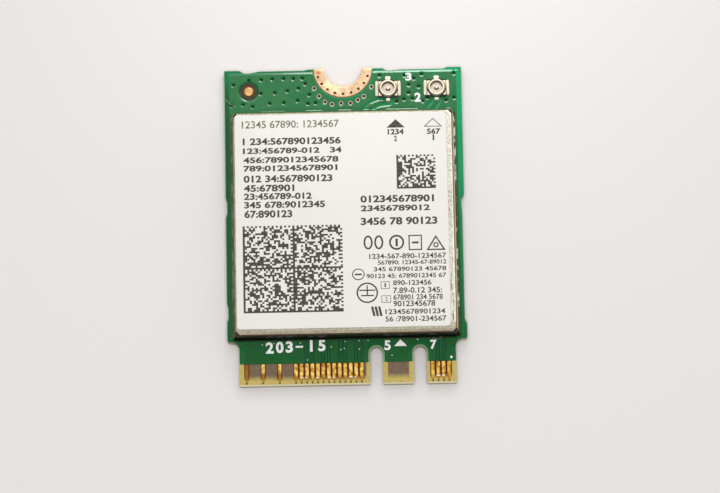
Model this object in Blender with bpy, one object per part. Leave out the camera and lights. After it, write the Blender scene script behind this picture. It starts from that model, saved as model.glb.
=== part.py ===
"""Laptop wireless card: a 22 by 30 mm plug-in board with a shield can and two coax receptacles.

Frame: metres, +Z up, origin at the middle of the underside.
The edge fingers point to -Y and the screw half-hole is at +Y.
"""

import math

import bmesh
import bpy

MM = 0.001
TOLERANCE = 0.001 * MM

# Board outline
CARD_WIDTH = 22.0 * MM
CARD_LENGTH = 30.0 * MM
BOARD_THICKNESS = 0.80 * MM
TONGUE_WIDTH = 19.85 * MM
TONGUE_LENGTH = 4.12 * MM
TONGUE_BEVEL = 0.13 * MM
SHOULDER_FILLET = 0.70 * MM
SHOULDER_CORNER = 0.20 * MM
KEY_WIDTH = 1.20 * MM
KEY_DEPTH = 3.50 * MM

# Recesses that the panel router left, as start, end and depth.
# The full stretches between them are the stubs of the panel's break-off tabs.
# Along the back edge they are measured from the left corner, the land or the right corner,
# and along the sides from the shoulder.
ROUTER_RAMP = 0.45 * MM
ROUTER_RAMP_SHARE = 0.4
BACK_LEFT_TAB = 1.40 * MM
BACK_LEFT_PLUNGE = (1.40 * MM, 0.28 * MM)
BACK_LEFT_DEPTH = 0.10 * MM
BACK_RIGHT_TAB = 1.30 * MM
BACK_RIGHT_PLUNGE = (1.20 * MM, 0.27 * MM)
BACK_RIGHT_DEPTH = 0.16 * MM
LAND_LEFT_REST = 0.45 * MM
LAND_RIGHT_REST = 0.95 * MM
LEFT_RECESSES = ((1.88 * MM, 3.68 * MM, 0.12 * MM), (11.78 * MM, 13.68 * MM, 0.13 * MM))
RIGHT_RECESSES = ((1.43 * MM, 12.28 * MM, 0.20 * MM), (12.28 * MM, 13.63 * MM, 0.27 * MM))

# Copper and solder mask on both faces, rooted a little in the core
COAT_THICKNESS = 0.06 * MM
COAT_EDGE_MARGIN = 0.05 * MM
COAT_KEY_MARGIN = 0.15 * MM
COAT_LINE = 2.05 * MM
ROOT_DEPTH = 0.02 * MM

# Edge fingers, numbered as in the socket: odd pins on top, even pins below,
# spread evenly between the margins to the tongue's sides
PIN_COUNT = 75
PIN_EDGE_MARGIN = 0.675 * MM
KEY_MIDDLE_PINS = (27.5, 11.5)
TOP_PINS = (1, 3, 5, 7, *range(33, 58, 2), 63, 69, 75)
BOTTOM_PINS = (2, 4, 6, *range(16, 23, 2), *range(32, 75, 2))
FINGER_WIDTH = 0.35 * MM
FINGER_HEIGHT = 0.045 * MM
FINGER_TAPER = 0.35 * MM
FINGER_TAIL_WIDTH = 0.12 * MM
FINGER_MASK_GAP = 0.03 * MM
FINGER_END_MARGIN = 0.25 * MM

# Plated half-hole for the mounting screw
HOLE_DIAMETER = 3.50 * MM
LAND_DIAMETER = 5.50 * MM
LAND_SHEET = 0.04 * MM
LAND_STEPS = 24
ROUND_STEPS = 24
ROUND_PROFILE = 0.5
VIA_STEPS = 10
LAND_VIA_DIAMETER = 0.20 * MM
LAND_VIA_MARGIN = 0.32 * MM
LAND_VIA_PITCH = 18.0
LAND_VIA_COUNT = 9

# Alignment dot near the back left corner
FIDUCIAL_FROM_LEFT = 2.26 * MM
FIDUCIAL_FROM_BACK = 2.02 * MM
FIDUCIAL_DIAMETER = 1.00 * MM
FIDUCIAL_OPENING = 1.70 * MM

# Shield can, pressed from one sheet, on its tinned track; margins to the card's edges
CAN_LEFT_MARGIN = 0.70 * MM
CAN_RIGHT_MARGIN = 0.85 * MM
CAN_BACK_MARGIN = 4.44 * MM
CAN_SHOULDER_MARGIN = 0.24 * MM
CAN_HEIGHT = 1.35 * MM
CAN_SHEET = 0.15 * MM
CAN_EDGE_RADIUS = 0.28 * MM
CAN_CORNER_RADIUS = 0.36 * MM
CAN_BEND_SEGMENTS = 4
CAN_SLOT_LENGTH = 0.44 * MM
CAN_SLOT_WIDTH = 0.13 * MM
CAN_SLOT_INSET = 0.20 * MM
TRACK_HEIGHT = 0.03 * MM
TRACK_OUTSIDE = 0.16 * MM
TRACK_INSIDE = 0.44 * MM
TRACK_LEAST_RADIUS = 0.05 * MM

# Paper label on the can, with its margins to the can's sides
LABEL_THICKNESS = 0.08 * MM
LABEL_LEFT_MARGIN = 0.24 * MM
LABEL_RIGHT_MARGIN = 0.68 * MM
LABEL_BACK_MARGIN = 0.28 * MM
LABEL_FRONT_MARGIN = 0.62 * MM
LABEL_CORNER_RADIUS = 0.30 * MM

# Coax receptacles: distance from the card's back edge and right edge
COAX_FROM_BACK = 2.07 * MM
COAX_FROM_RIGHT = {"main": 6.82 * MM, "aux": 2.32 * MM}
COAX_HEIGHT = 0.60 * MM
COAX_RING_DIAMETER = 1.50 * MM
COAX_RING_WALL = 0.15 * MM
COAX_RING_EASE = 0.03 * MM
COAX_RING_ROOT = 0.04 * MM
COAX_GROOVE_DEPTH = 0.05 * MM
COAX_GROOVE_WIDTH = 0.12 * MM
COAX_LIP = 0.10 * MM
COAX_BASE_WIDTH = 1.76 * MM
COAX_BASE_LENGTH = 1.66 * MM
COAX_BASE_HEIGHT = 0.18 * MM
COAX_FLANGE = 0.09 * MM
COAX_FLANGE_LENGTH = 1.36 * MM
COAX_LEG_WIDTH = 0.26 * MM
COAX_TAB_WIDTH = 0.46 * MM
COAX_TAB_LENGTH = 0.30 * MM
COAX_TAB_STEP = 0.01 * MM
COAX_PIN_DIAMETER = 0.28 * MM
COAX_PIN_DROP = 0.10 * MM
COAX_CONTACT_WIDTH = 0.36 * MM
COAX_CONTACT_REACH = 0.30 * MM
COAX_CONTACT_THICKNESS = 0.08 * MM
COAX_STEPS = 28
PIN_STEPS = 12

# Clearance that soldered, glued and pressed pieces keep to each other
SEAT_GAP = 0.02 * MM

# Parts under the can: sizes, and the places of the centres as shares of the can's inner
# width and length, measured from its front left corner
PROCESSOR_SIDE = 7.60 * MM
PROCESSOR_HEIGHT = 0.80 * MM
PROCESSOR_PLACE = (0.455, 0.457)
SUBSTRATE_HEIGHT = 0.22 * MM
SUBSTRATE_RIM = 0.15 * MM
DIMPLE_INSET = 0.36 * MM
DIMPLE_RADIUS = 0.18 * MM
DIMPLE_DEPTH = 0.06 * MM
CRYSTAL_SIZE = (2.00 * MM, 1.60 * MM, 0.50 * MM)
CRYSTAL_PLACE = (0.129, 0.701)
CRYSTAL_LID_RIM = 0.12 * MM
CRYSTAL_LID_SHEET = 0.10 * MM
FRONT_END_SIZE = (2.30 * MM, 2.30 * MM, 0.60 * MM)
SWITCH_SIZE = (1.10 * MM, 1.10 * MM, 0.45 * MM)
REGULATOR_SIZE = (2.00 * MM, 2.00 * MM, 0.60 * MM)
MEMORY_SIZE = (3.00 * MM, 2.00 * MM, 0.50 * MM)
MODULES = {
    "front_end_module_low": (FRONT_END_SIZE, (0.640, 0.823)),
    "front_end_module_high": (FRONT_END_SIZE, (0.878, 0.813)),
    "antenna_switch": (SWITCH_SIZE, (0.760, 0.919)),
    "voltage_regulator": (REGULATOR_SIZE, (0.129, 0.289)),
    "memory_chip": (MEMORY_SIZE, (0.856, 0.220)),
}
DIPLEXER_SIZE = (1.60 * MM, 0.80 * MM, 0.55 * MM)
BAND_FILTER_SIZE = (1.40 * MM, 1.10 * MM, 0.45 * MM)
BALUN_SIZE = (1.00 * MM, 0.50 * MM, 0.40 * MM)
FILTERS = {
    "diplexer_main": (DIPLEXER_SIZE, (0.623, 0.938)),
    "diplexer_aux": (DIPLEXER_SIZE, (0.906, 0.933)),
    "band_filter": (BAND_FILTER_SIZE, (0.759, 0.813)),
    "balun_low": (BALUN_SIZE, (0.514, 0.842)),
    "balun_high": (BALUN_SIZE, (0.514, 0.785)),
}
INDUCTOR_SIZE = (2.00 * MM, 1.60 * MM, 0.90 * MM)
INDUCTORS = {
    "power_inductor_core": (INDUCTOR_SIZE, (0.129, 0.433)),
    "power_inductor_radio": (INDUCTOR_SIZE, (0.129, 0.567)),
}
PACKAGE_BEVEL = 0.06 * MM
CHIP_END_SHARE = 0.22
CHIP_BODY_STEP = 0.02 * MM

# Rows of chip parts: size, place of the first, step to the next, count and quarter turn
LARGE_CAPACITOR = (1.00 * MM, 0.50 * MM, 0.50 * MM)
SMALL_CAPACITOR = (0.60 * MM, 0.30 * MM, 0.30 * MM)
LARGE_RESISTOR = (1.00 * MM, 0.50 * MM, 0.35 * MM)
SMALL_RESISTOR = (0.60 * MM, 0.30 * MM, 0.25 * MM)
CAPACITOR_ROWS = (
    (LARGE_CAPACITOR, (0.278, 0.163), (0.0695, 0.0), 5, True),
    (LARGE_CAPACITOR, (0.109, 0.067), (0.0893, 0.0), 6, False),
    (LARGE_CAPACITOR, (0.099, 0.828), (0.0695, 0.0), 4, True),
    (SMALL_CAPACITOR, (0.079, 0.933), (0.0546, 0.0), 5, False),
)
RESISTOR_ROWS = (
    (LARGE_RESISTOR, (0.685, 0.057), (0.0744, 0.0), 4, False),
    (SMALL_RESISTOR, (0.367, 0.852), (0.0, -0.0335), 4, False),
)

# Levels and sides worked out from the sizes above
BOARD_TOP = BOARD_THICKNESS
CORE_TOP = BOARD_THICKNESS - COAT_THICKNESS
CORE_BOTTOM = COAT_THICKNESS
PIN_ONE_X = TONGUE_WIDTH / 2 - PIN_EDGE_MARGIN
PIN_STEP = 2 * PIN_ONE_X / (PIN_COUNT - 1)
BACK_Y = CARD_LENGTH / 2
FRONT_Y = -CARD_LENGTH / 2
SHOULDER_Y = FRONT_Y + TONGUE_LENGTH
CAN_LEFT = -CARD_WIDTH / 2 + CAN_LEFT_MARGIN
CAN_RIGHT = CARD_WIDTH / 2 - CAN_RIGHT_MARGIN
CAN_FRONT = SHOULDER_Y + CAN_SHOULDER_MARGIN
CAN_BACK = BACK_Y - CAN_BACK_MARGIN
CAN_FOOT = BOARD_TOP + TRACK_HEIGHT + SEAT_GAP
CAN_TOP = CAN_FOOT + CAN_HEIGHT
PART_FLOOR = BOARD_TOP + SEAT_GAP


def clear_scene():
    for old in list(bpy.data.objects):
        bpy.data.objects.remove(old, do_unlink=True)


def material(name, colour, roughness, metallic):
    made = bpy.data.materials.new(name)
    made.use_nodes = True
    shader = made.node_tree.nodes["Principled BSDF"]
    shader.inputs["Base Color"].default_value = (*colour, 1.0)
    shader.inputs["Roughness"].default_value = roughness
    shader.inputs["Metallic"].default_value = metallic
    return made


def add_object(name, bm, finish=None):
    """Turns a bmesh into a named object with its faces pointing out."""
    bmesh.ops.recalc_face_normals(bm, faces=bm.faces)
    mesh = bpy.data.meshes.new(name)
    bm.to_mesh(mesh)
    bm.free()
    made = bpy.data.objects.new(name, mesh)
    bpy.context.collection.objects.link(made)
    if finish is not None:
        mesh.materials.append(finish)
    return made


def smooth(made, angle=35.0):
    made.data.shade_smooth()
    made.data.set_sharp_from_angle(angle=math.radians(angle))


def combine(target, tool, operation):
    """Adds a Boolean whose tool is left out of the model."""
    tool.hide_render = True
    tool.display_type = "WIRE"
    step = target.modifiers.new(tool.name, "BOOLEAN")
    step.operation = operation
    step.object = tool
    step.solver = "EXACT"


def arc(centre, radius, start, end, steps):
    """Points on an arc, both ends included; angles in degrees."""
    points = []
    for i in range(steps + 1):
        angle = math.radians(start + (end - start) * i / steps)
        points.append((centre[0] + radius * math.cos(angle), centre[1] + radius * math.sin(angle)))
    return points


def circle(centre, radius, steps):
    return arc(centre, radius, 0.0, 360.0 - 360.0 / steps, steps - 1)


def rounded_rectangle(low, high, radius, steps=4):
    points = []
    points += arc((high[0] - radius, low[1] + radius), radius, -90, 0, steps)
    points += arc((high[0] - radius, high[1] - radius), radius, 0, 90, steps)
    points += arc((low[0] + radius, high[1] - radius), radius, 90, 180, steps)
    points += arc((low[0] + radius, low[1] + radius), radius, 180, 270, steps)
    return points


def add_prism(bm, points, low, high):
    """Extrudes an anticlockwise outline between two heights."""
    base = bm.faces.new([bm.verts.new((x, y, low)) for x, y in points])
    raised = bmesh.ops.extrude_face_region(bm, geom=[base], use_keep_orig=True)
    lifted = [item for item in raised["geom"] if isinstance(item, bmesh.types.BMVert)]
    bmesh.ops.translate(bm, vec=(0.0, 0.0, high - low), verts=lifted)
    return lifted


def add_box(bm, low, high):
    corners = ((low[0], low[1]), (high[0], low[1]), (high[0], high[1]), (low[0], high[1]))
    return add_prism(bm, corners, low[2], high[2])


def add_band(bm, outer, inner, low, high):
    """A flat band between two loops that have the same number of points."""
    rings = ((outer, low), (outer, high), (inner, high), (inner, low))
    loops = [[bm.verts.new((x, y, z)) for x, y in ring] for ring, z in rings]
    count = len(outer)
    for a, b in zip(loops, loops[1:] + loops[:1]):
        for i in range(count):
            j = (i + 1) % count
            bm.faces.new((a[i], a[j], b[j], b[i]))


def add_turned(bm, profile, centre, steps, start=0.0, end=360.0):
    """Sweeps a closed (radius, height) profile round a vertical axis; angles in degrees."""
    whole = end - start >= 360.0
    rings = []
    for i in range(steps if whole else steps + 1):
        angle = math.radians(start + (end - start) * i / steps)
        across, along = math.cos(angle), math.sin(angle)
        rings.append([bm.verts.new((centre[0] + r * across, centre[1] + r * along, z))
                      for r, z in profile])
    pairs = list(zip(rings, rings[1:]))
    if whole:
        pairs.append((rings[-1], rings[0]))
    else:
        bm.faces.new(rings[0])
        bm.faces.new(rings[-1][::-1])
    count = len(profile)
    for a, b in pairs:
        for i in range(count):
            j = (i + 1) % count
            bm.faces.new((a[i], b[i], b[j], a[j]))


def recess_points(recesses):
    """Places along an edge, in rising order, with the depth of the recess there."""
    points = []
    for start, end, depth in recesses:
        ramp = min(ROUTER_RAMP, ROUTER_RAMP_SHARE * (end - start))
        if points and points[-1][0] >= start:
            points.pop()
        else:
            points.append((start, 0.0))
        points += [(start + ramp, depth), (end - ramp, depth), (end, 0.0)]
    return points


def back_recesses():
    """Recesses of the back edge in rising x, one list on each side of the land."""
    left = -CARD_WIDTH / 2 + BACK_LEFT_TAB
    left_stop = left + BACK_LEFT_PLUNGE[0]
    right = CARD_WIDTH / 2 - BACK_RIGHT_TAB
    land = LAND_DIAMETER / 2
    right_start = land + LAND_RIGHT_REST
    right_stop = right_start + BACK_RIGHT_PLUNGE[0]
    left_side = [(left, left_stop, BACK_LEFT_PLUNGE[1]),
                 (left_stop, -land - LAND_LEFT_REST, BACK_LEFT_DEPTH)]
    right_side = [(right_start, right_stop, BACK_RIGHT_PLUNGE[1]),
                  (right_stop, right, BACK_RIGHT_DEPTH)]
    return recess_points(left_side), recess_points(right_side)


def key_x(pin):
    """Place across the card of a pin, or of a key slot that lies between two pins."""
    return PIN_ONE_X - (pin - 1) * PIN_STEP


def board_outline(inset, hole_radius, key_margin, end_y):
    """The card's outline, anticlockwise from the left of the tongue's end."""
    half_tongue = TONGUE_WIDTH / 2
    half_card = CARD_WIDTH / 2
    back = BACK_Y - inset
    key_radius = KEY_WIDTH / 2 + key_margin
    key_top = FRONT_Y + KEY_DEPTH - KEY_WIDTH / 2
    points = [(-half_tongue + inset, end_y)]
    for pin in KEY_MIDDLE_PINS:
        x = key_x(pin)
        points.append((x - key_radius, end_y))
        points += arc((x, key_top), key_radius, 180, 0, 8)
        points.append((x + key_radius, end_y))
    points.append((half_tongue - inset, end_y))
    fillet = (half_tongue + SHOULDER_FILLET, SHOULDER_Y - SHOULDER_FILLET)
    corner = (half_card - SHOULDER_CORNER, SHOULDER_Y + SHOULDER_CORNER)
    points += arc(fillet, SHOULDER_FILLET + inset, 180, 90, 5)
    points += arc(corner, SHOULDER_CORNER - inset, -90, 0, 3)
    for place, depth in recess_points(RIGHT_RECESSES):
        points.append((half_card - inset - depth, SHOULDER_Y + place))
    points.append((half_card - inset, back))
    left_side, right_side = back_recesses()
    for place, depth in reversed(right_side):
        points.append((place, back - depth))
    lean = math.degrees(math.asin(inset / hole_radius))
    points += arc((0.0, BACK_Y), hole_radius, -lean, -180 + lean, LAND_STEPS)
    for place, depth in reversed(left_side):
        points.append((place, back - depth))
    points.append((-half_card + inset, back))
    for place, depth in reversed(recess_points(LEFT_RECESSES)):
        points.append((-half_card + inset + depth, SHOULDER_Y + place))
    points += arc((-corner[0], corner[1]), SHOULDER_CORNER - inset, 180, 270, 3)
    points += arc((-fillet[0], fillet[1]), SHOULDER_FILLET + inset, 90, 0, 5)
    return points


def finger_outline(pin):
    """A finger with its tapered plating tail towards the tongue's end."""
    x = key_x(pin)
    start = FRONT_Y + COAT_LINE - FINGER_MASK_GAP
    end = FRONT_Y + FINGER_END_MARGIN
    half = FINGER_WIDTH / 2
    tail = FINGER_TAIL_WIDTH / 2
    return [(x - half, start), (x - half, end + FINGER_TAPER), (x - tail, end),
            (x + tail, end), (x + half, end + FINGER_TAPER), (x + half, start)]


def can_outline(margin, steps=4):
    """The can's rounded outline, moved outwards by a margin."""
    low = (CAN_LEFT - margin, CAN_FRONT - margin)
    high = (CAN_RIGHT + margin, CAN_BACK + margin)
    radius = max(CAN_CORNER_RADIUS + margin, TRACK_LEAST_RADIUS)
    return rounded_rectangle(low, high, radius, steps)


def fiducial_place():
    return (-CARD_WIDTH / 2 + FIDUCIAL_FROM_LEFT, BACK_Y - FIDUCIAL_FROM_BACK)


def make_board(finish):
    """Glass-epoxy core with its coats, the can's track and the fused edge fingers."""
    bm = bmesh.new()
    core = board_outline(0.0, HOLE_DIAMETER / 2 + LAND_SHEET + SEAT_GAP, 0.0, FRONT_Y)
    add_prism(bm, core, CORE_BOTTOM, CORE_TOP)
    ends = [edge for edge in bm.edges
            if all(abs(v.co.y - FRONT_Y) < TOLERANCE for v in edge.verts)
            and abs(edge.verts[0].co.z - edge.verts[1].co.z) < TOLERANCE]
    bmesh.ops.bevel(bm, geom=ends, offset=TONGUE_BEVEL, segments=1, affect="EDGES")
    board = add_object("circuit_board", bm, finish)

    coats = bmesh.new()
    land_edge = LAND_DIAMETER / 2 + COAT_EDGE_MARGIN
    coat = board_outline(COAT_EDGE_MARGIN, land_edge, COAT_KEY_MARGIN, FRONT_Y + COAT_LINE)
    add_prism(coats, coat, CORE_TOP - ROOT_DEPTH, BOARD_TOP)
    add_prism(coats, coat, 0.0, CORE_BOTTOM + ROOT_DEPTH)
    combine(board, add_object("tool_coats", coats), "UNION")

    track = bmesh.new()
    add_band(track, can_outline(TRACK_OUTSIDE), can_outline(-TRACK_INSIDE),
             BOARD_TOP - ROOT_DEPTH, BOARD_TOP + TRACK_HEIGHT)
    combine(board, add_object("tool_track", track), "UNION")

    opening = bmesh.new()
    add_prism(opening, circle(fiducial_place(), FIDUCIAL_OPENING / 2, ROUND_STEPS),
              CORE_TOP, BOARD_TOP + ROOT_DEPTH)
    combine(board, add_object("tool_fiducial_opening", opening), "DIFFERENCE")

    metal = bmesh.new()
    add_prism(metal, circle(fiducial_place(), FIDUCIAL_DIAMETER / 2, ROUND_STEPS),
              CORE_TOP - ROOT_DEPTH, CORE_TOP + FINGER_HEIGHT)
    for pin in TOP_PINS:
        add_prism(metal, finger_outline(pin), CORE_TOP - ROOT_DEPTH, CORE_TOP + FINGER_HEIGHT)
    for pin in BOTTOM_PINS:
        add_prism(metal, finger_outline(pin), CORE_BOTTOM - FINGER_HEIGHT, CORE_BOTTOM + ROOT_DEPTH)
    combine(board, add_object("tool_fingers", metal), "UNION")


def make_mounting_land(finish):
    """Copper eyelet of the screw half-hole: two lands joined by the plated wall."""
    hole = HOLE_DIAMETER / 2
    wall = hole + LAND_SHEET
    rim = LAND_DIAMETER / 2
    profile = [(hole, 0.0), (rim, 0.0), (rim, LAND_SHEET), (wall, LAND_SHEET),
               (wall, BOARD_TOP - LAND_SHEET), (rim, BOARD_TOP - LAND_SHEET),
               (rim, BOARD_TOP), (hole, BOARD_TOP)]
    bm = bmesh.new()
    add_turned(bm, profile, (0.0, BACK_Y), LAND_STEPS, 180, 360)
    land = add_object("mounting_land", bm, finish)
    vias = bmesh.new()
    first = 270 - LAND_VIA_PITCH * (LAND_VIA_COUNT - 1) / 2
    via_radius = rim - LAND_VIA_MARGIN
    for i in range(LAND_VIA_COUNT):
        angle = math.radians(first + i * LAND_VIA_PITCH)
        centre = (via_radius * math.cos(angle), BACK_Y + via_radius * math.sin(angle))
        add_prism(vias, circle(centre, LAND_VIA_DIAMETER / 2, VIA_STEPS),
                  -ROOT_DEPTH, BOARD_TOP + ROOT_DEPTH)
    combine(land, add_object("tool_land_vias", vias), "DIFFERENCE")


def make_shield_can(finish):
    """Pressed can: a rounded box without a floor, thickened inwards, with corner relief slots."""
    bm = bmesh.new()
    add_box(bm, (CAN_LEFT, CAN_FRONT, CAN_FOOT), (CAN_RIGHT, CAN_BACK, CAN_TOP))
    upright = [edge for edge in bm.edges
               if abs(edge.verts[0].co.z - edge.verts[1].co.z) > CAN_HEIGHT / 2]
    bmesh.ops.bevel(bm, geom=upright, offset=CAN_CORNER_RADIUS, segments=CAN_BEND_SEGMENTS,
                    profile=ROUND_PROFILE, affect="EDGES")
    lid = max(bm.faces, key=lambda face: face.calc_center_median().z)
    floor = min(bm.faces, key=lambda face: face.calc_center_median().z)
    rim = list(lid.edges)
    bmesh.ops.delete(bm, geom=[floor], context="FACES_ONLY")
    bmesh.ops.bevel(bm, geom=rim, offset=CAN_EDGE_RADIUS, segments=CAN_BEND_SEGMENTS,
                    profile=ROUND_PROFILE, affect="EDGES")
    can = add_object("shield_can", bm, finish)
    smooth(can)
    wall = can.modifiers.new("sheet", "SOLIDIFY")
    wall.thickness = CAN_SHEET
    wall.offset = -1.0
    wall.use_even_offset = True
    slots = bmesh.new()
    for side_x, wall_x in ((-1, CAN_LEFT), (1, CAN_RIGHT)):
        for side_y, wall_y in ((-1, CAN_FRONT), (1, CAN_BACK)):
            centre = (wall_x - side_x * CAN_SLOT_INSET, wall_y - side_y * CAN_SLOT_INSET)
            along = (side_x * math.sqrt(0.5), -side_y * math.sqrt(0.5))
            add_slot(slots, centre, along)
    combine(can, add_object("tool_can_slots", slots), "DIFFERENCE")


def add_slot(bm, centre, along):
    """A thin upright block through the can's top bend, its length set along a direction."""
    half_length = CAN_SLOT_LENGTH / 2
    half_width = CAN_SLOT_WIDTH / 2
    across = (-along[1], along[0])
    corners = []
    for step, shift in ((-1, -1), (1, -1), (1, 1), (-1, 1)):
        x = centre[0] + step * half_length * along[0] + shift * half_width * across[0]
        y = centre[1] + step * half_length * along[1] + shift * half_width * across[1]
        corners.append((x, y))
    depth = CAN_EDGE_RADIUS + CAN_SHEET
    add_prism(bm, corners, CAN_TOP - depth, CAN_TOP + ROOT_DEPTH)


def make_label(finish):
    low = (CAN_LEFT + LABEL_LEFT_MARGIN, CAN_FRONT + LABEL_FRONT_MARGIN)
    high = (CAN_RIGHT - LABEL_RIGHT_MARGIN, CAN_BACK - LABEL_BACK_MARGIN)
    bm = bmesh.new()
    floor = CAN_TOP + SEAT_GAP
    add_prism(bm, rounded_rectangle(low, high, LABEL_CORNER_RADIUS), floor, floor + LABEL_THICKNESS)
    add_object("label", bm, finish)


def make_coax(name, centre, shell_finish, base_finish, pin_finish):
    """Surface-mount coax receptacle: plastic base, ground shell and centre contact."""
    x, y = centre
    floor = PART_FLOOR
    base_top = floor + COAX_BASE_HEIGHT
    flange_low = base_top + SEAT_GAP
    flange_high = flange_low + COAX_FLANGE
    half_length = COAX_BASE_LENGTH / 2
    bore = COAX_RING_DIAMETER / 2 - COAX_RING_WALL
    pin = COAX_PIN_DIAMETER / 2
    strip_top = floor + COAX_CONTACT_THICKNESS

    # Plastic base: a block with a raised disc, a groove for the contact and a bore for its pin
    half_base = COAX_BASE_WIDTH / 2
    bm = bmesh.new()
    add_box(bm, (x - half_base, y - half_length, floor), (x + half_base, y + half_length, base_top))
    base = add_object("coax_%s_base" % name, bm, base_finish)
    disc = bmesh.new()
    add_prism(disc, circle((x, y), bore - SEAT_GAP, ROUND_STEPS), base_top - ROOT_DEPTH, flange_high)
    combine(base, add_object("tool_%s_disc" % name, disc), "UNION")
    groove = bmesh.new()
    half_groove = COAX_CONTACT_WIDTH / 2 + SEAT_GAP
    add_box(groove, (x - half_groove, y - half_length - SEAT_GAP, floor - SEAT_GAP),
            (x + half_groove, y + half_groove, strip_top + SEAT_GAP))
    combine(base, add_object("tool_%s_groove" % name, groove), "DIFFERENCE")
    hole = bmesh.new()
    add_prism(hole, circle((x, y), pin + SEAT_GAP, PIN_STEPS), strip_top, flange_high + SEAT_GAP)
    combine(base, add_object("tool_%s_hole" % name, hole), "DIFFERENCE")

    # Ground shell: a folded bridge over the base, a rear tab and the snap ring
    leg_in = half_base + SEAT_GAP
    leg_out = leg_in + COAX_LEG_WIDTH
    half_flange = COAX_FLANGE_LENGTH / 2
    bridge = [(-leg_out, floor), (-leg_in, floor), (-leg_in, flange_low), (leg_in, flange_low),
              (leg_in, floor), (leg_out, floor), (leg_out, flange_high), (-leg_out, flange_high)]
    bm = bmesh.new()
    add_upright_profile(bm, [(x + across, z) for across, z in bridge], "x",
                        y - half_flange, y + half_flange)
    shell = add_object("coax_%s_shell" % name, bm, shell_finish)
    smooth(shell)
    tab_near = half_flange - COAX_RING_WALL
    tab_bend = half_length + SEAT_GAP
    tab_far = tab_bend + COAX_TAB_LENGTH
    tab_low = flange_low + COAX_TAB_STEP
    tab_high = flange_high - COAX_TAB_STEP
    tab = [(tab_near, tab_low), (tab_bend, tab_low), (tab_bend, floor),
           (tab_far, floor), (tab_far, tab_high), (tab_near, tab_high)]
    bm = bmesh.new()
    add_upright_profile(bm, [(y + along, z) for along, z in tab], "y",
                        x - COAX_TAB_WIDTH / 2, x + COAX_TAB_WIDTH / 2)
    combine(shell, add_object("tool_%s_tab" % name, bm), "UNION")
    opening = bmesh.new()
    add_prism(opening, circle((x, y), bore + COAX_RING_ROOT, ROUND_STEPS),
              flange_low - SEAT_GAP / 2, flange_high + SEAT_GAP)
    combine(shell, add_object("tool_%s_opening" % name, opening), "DIFFERENCE")
    ring = bmesh.new()
    add_turned(ring, ring_profile(bore, flange_low + COAX_FLANGE / 2, floor + COAX_HEIGHT),
               (x, y), COAX_STEPS)
    combine(shell, add_object("tool_%s_ring" % name, ring), "UNION")

    # Centre contact: a pin with a flat foot that leaves under the front of the base
    half_strip = COAX_CONTACT_WIDTH / 2
    bm = bmesh.new()
    add_box(bm, (x - half_strip, y - half_length - COAX_CONTACT_REACH, floor),
            (x + half_strip, y + half_strip, strip_top))
    contact = add_object("coax_%s_contact" % name, bm, pin_finish)
    smooth(contact)
    post = bmesh.new()
    tip = floor + COAX_HEIGHT - COAX_PIN_DROP
    lifted = add_prism(post, circle((x, y), pin, PIN_STEPS), floor + COAX_CONTACT_THICKNESS / 2, tip)
    ease_crown(post, lifted, pin / 2, segments=2)
    combine(contact, add_object("tool_%s_post" % name, post), "UNION")


def add_upright_profile(bm, profile, axis, start, end):
    """Extrudes an outline that stands in the XZ plane ("x") or the YZ plane ("y")."""
    if axis == "x":
        loops = [[bm.verts.new((a, place, z)) for a, z in profile] for place in (start, end)]
    else:
        loops = [[bm.verts.new((place, a, z)) for a, z in profile] for place in (start, end)]
    bm.faces.new(loops[0])
    bm.faces.new(loops[1][::-1])
    count = len(profile)
    for i in range(count):
        j = (i + 1) % count
        bm.faces.new((loops[0][i], loops[1][i], loops[1][j], loops[0][j]))


def ring_profile(bore, low, top):
    """Section of the snap ring, with its groove and its eased upper lip."""
    ring = bore + COAX_RING_WALL
    waist = ring - COAX_GROOVE_DEPTH
    groove_high = top - COAX_LIP
    groove_low = groove_high - COAX_GROOVE_WIDTH
    ease = COAX_RING_EASE
    return [(bore, low), (ring, low), (ring, groove_low), (waist, groove_low + ease),
            (waist, groove_high - ease), (ring, groove_high), (ring, top - ease),
            (ring - ease, top), (bore + ease, top), (bore, top - ease)]


def inner_place(shares):
    """A place under the can from its shares of the inner width and length."""
    left, right = CAN_LEFT + CAN_SHEET, CAN_RIGHT - CAN_SHEET
    front, back = CAN_FRONT + CAN_SHEET, CAN_BACK - CAN_SHEET
    return (left + shares[0] * (right - left), front + shares[1] * (back - front))


def make_package(name, size, centre, finish):
    """Moulded package with eased upper edges."""
    half_x, half_y = size[0] / 2, size[1] / 2
    low = (centre[0] - half_x, centre[1] - half_y, PART_FLOOR)
    high = (centre[0] + half_x, centre[1] + half_y, PART_FLOOR + size[2])
    bm = bmesh.new()
    ease_crown(bm, add_box(bm, low, high), PACKAGE_BEVEL)
    return add_object(name, bm, finish)


def ease_crown(bm, lifted, offset, segments=1):
    """Bevels the edges round the upper face of a prism."""
    crown = [edge for edge in bm.edges if all(vert in lifted for vert in edge.verts)]
    bmesh.ops.bevel(bm, geom=crown, offset=offset, segments=segments,
                    profile=ROUND_PROFILE, affect="EDGES")


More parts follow.
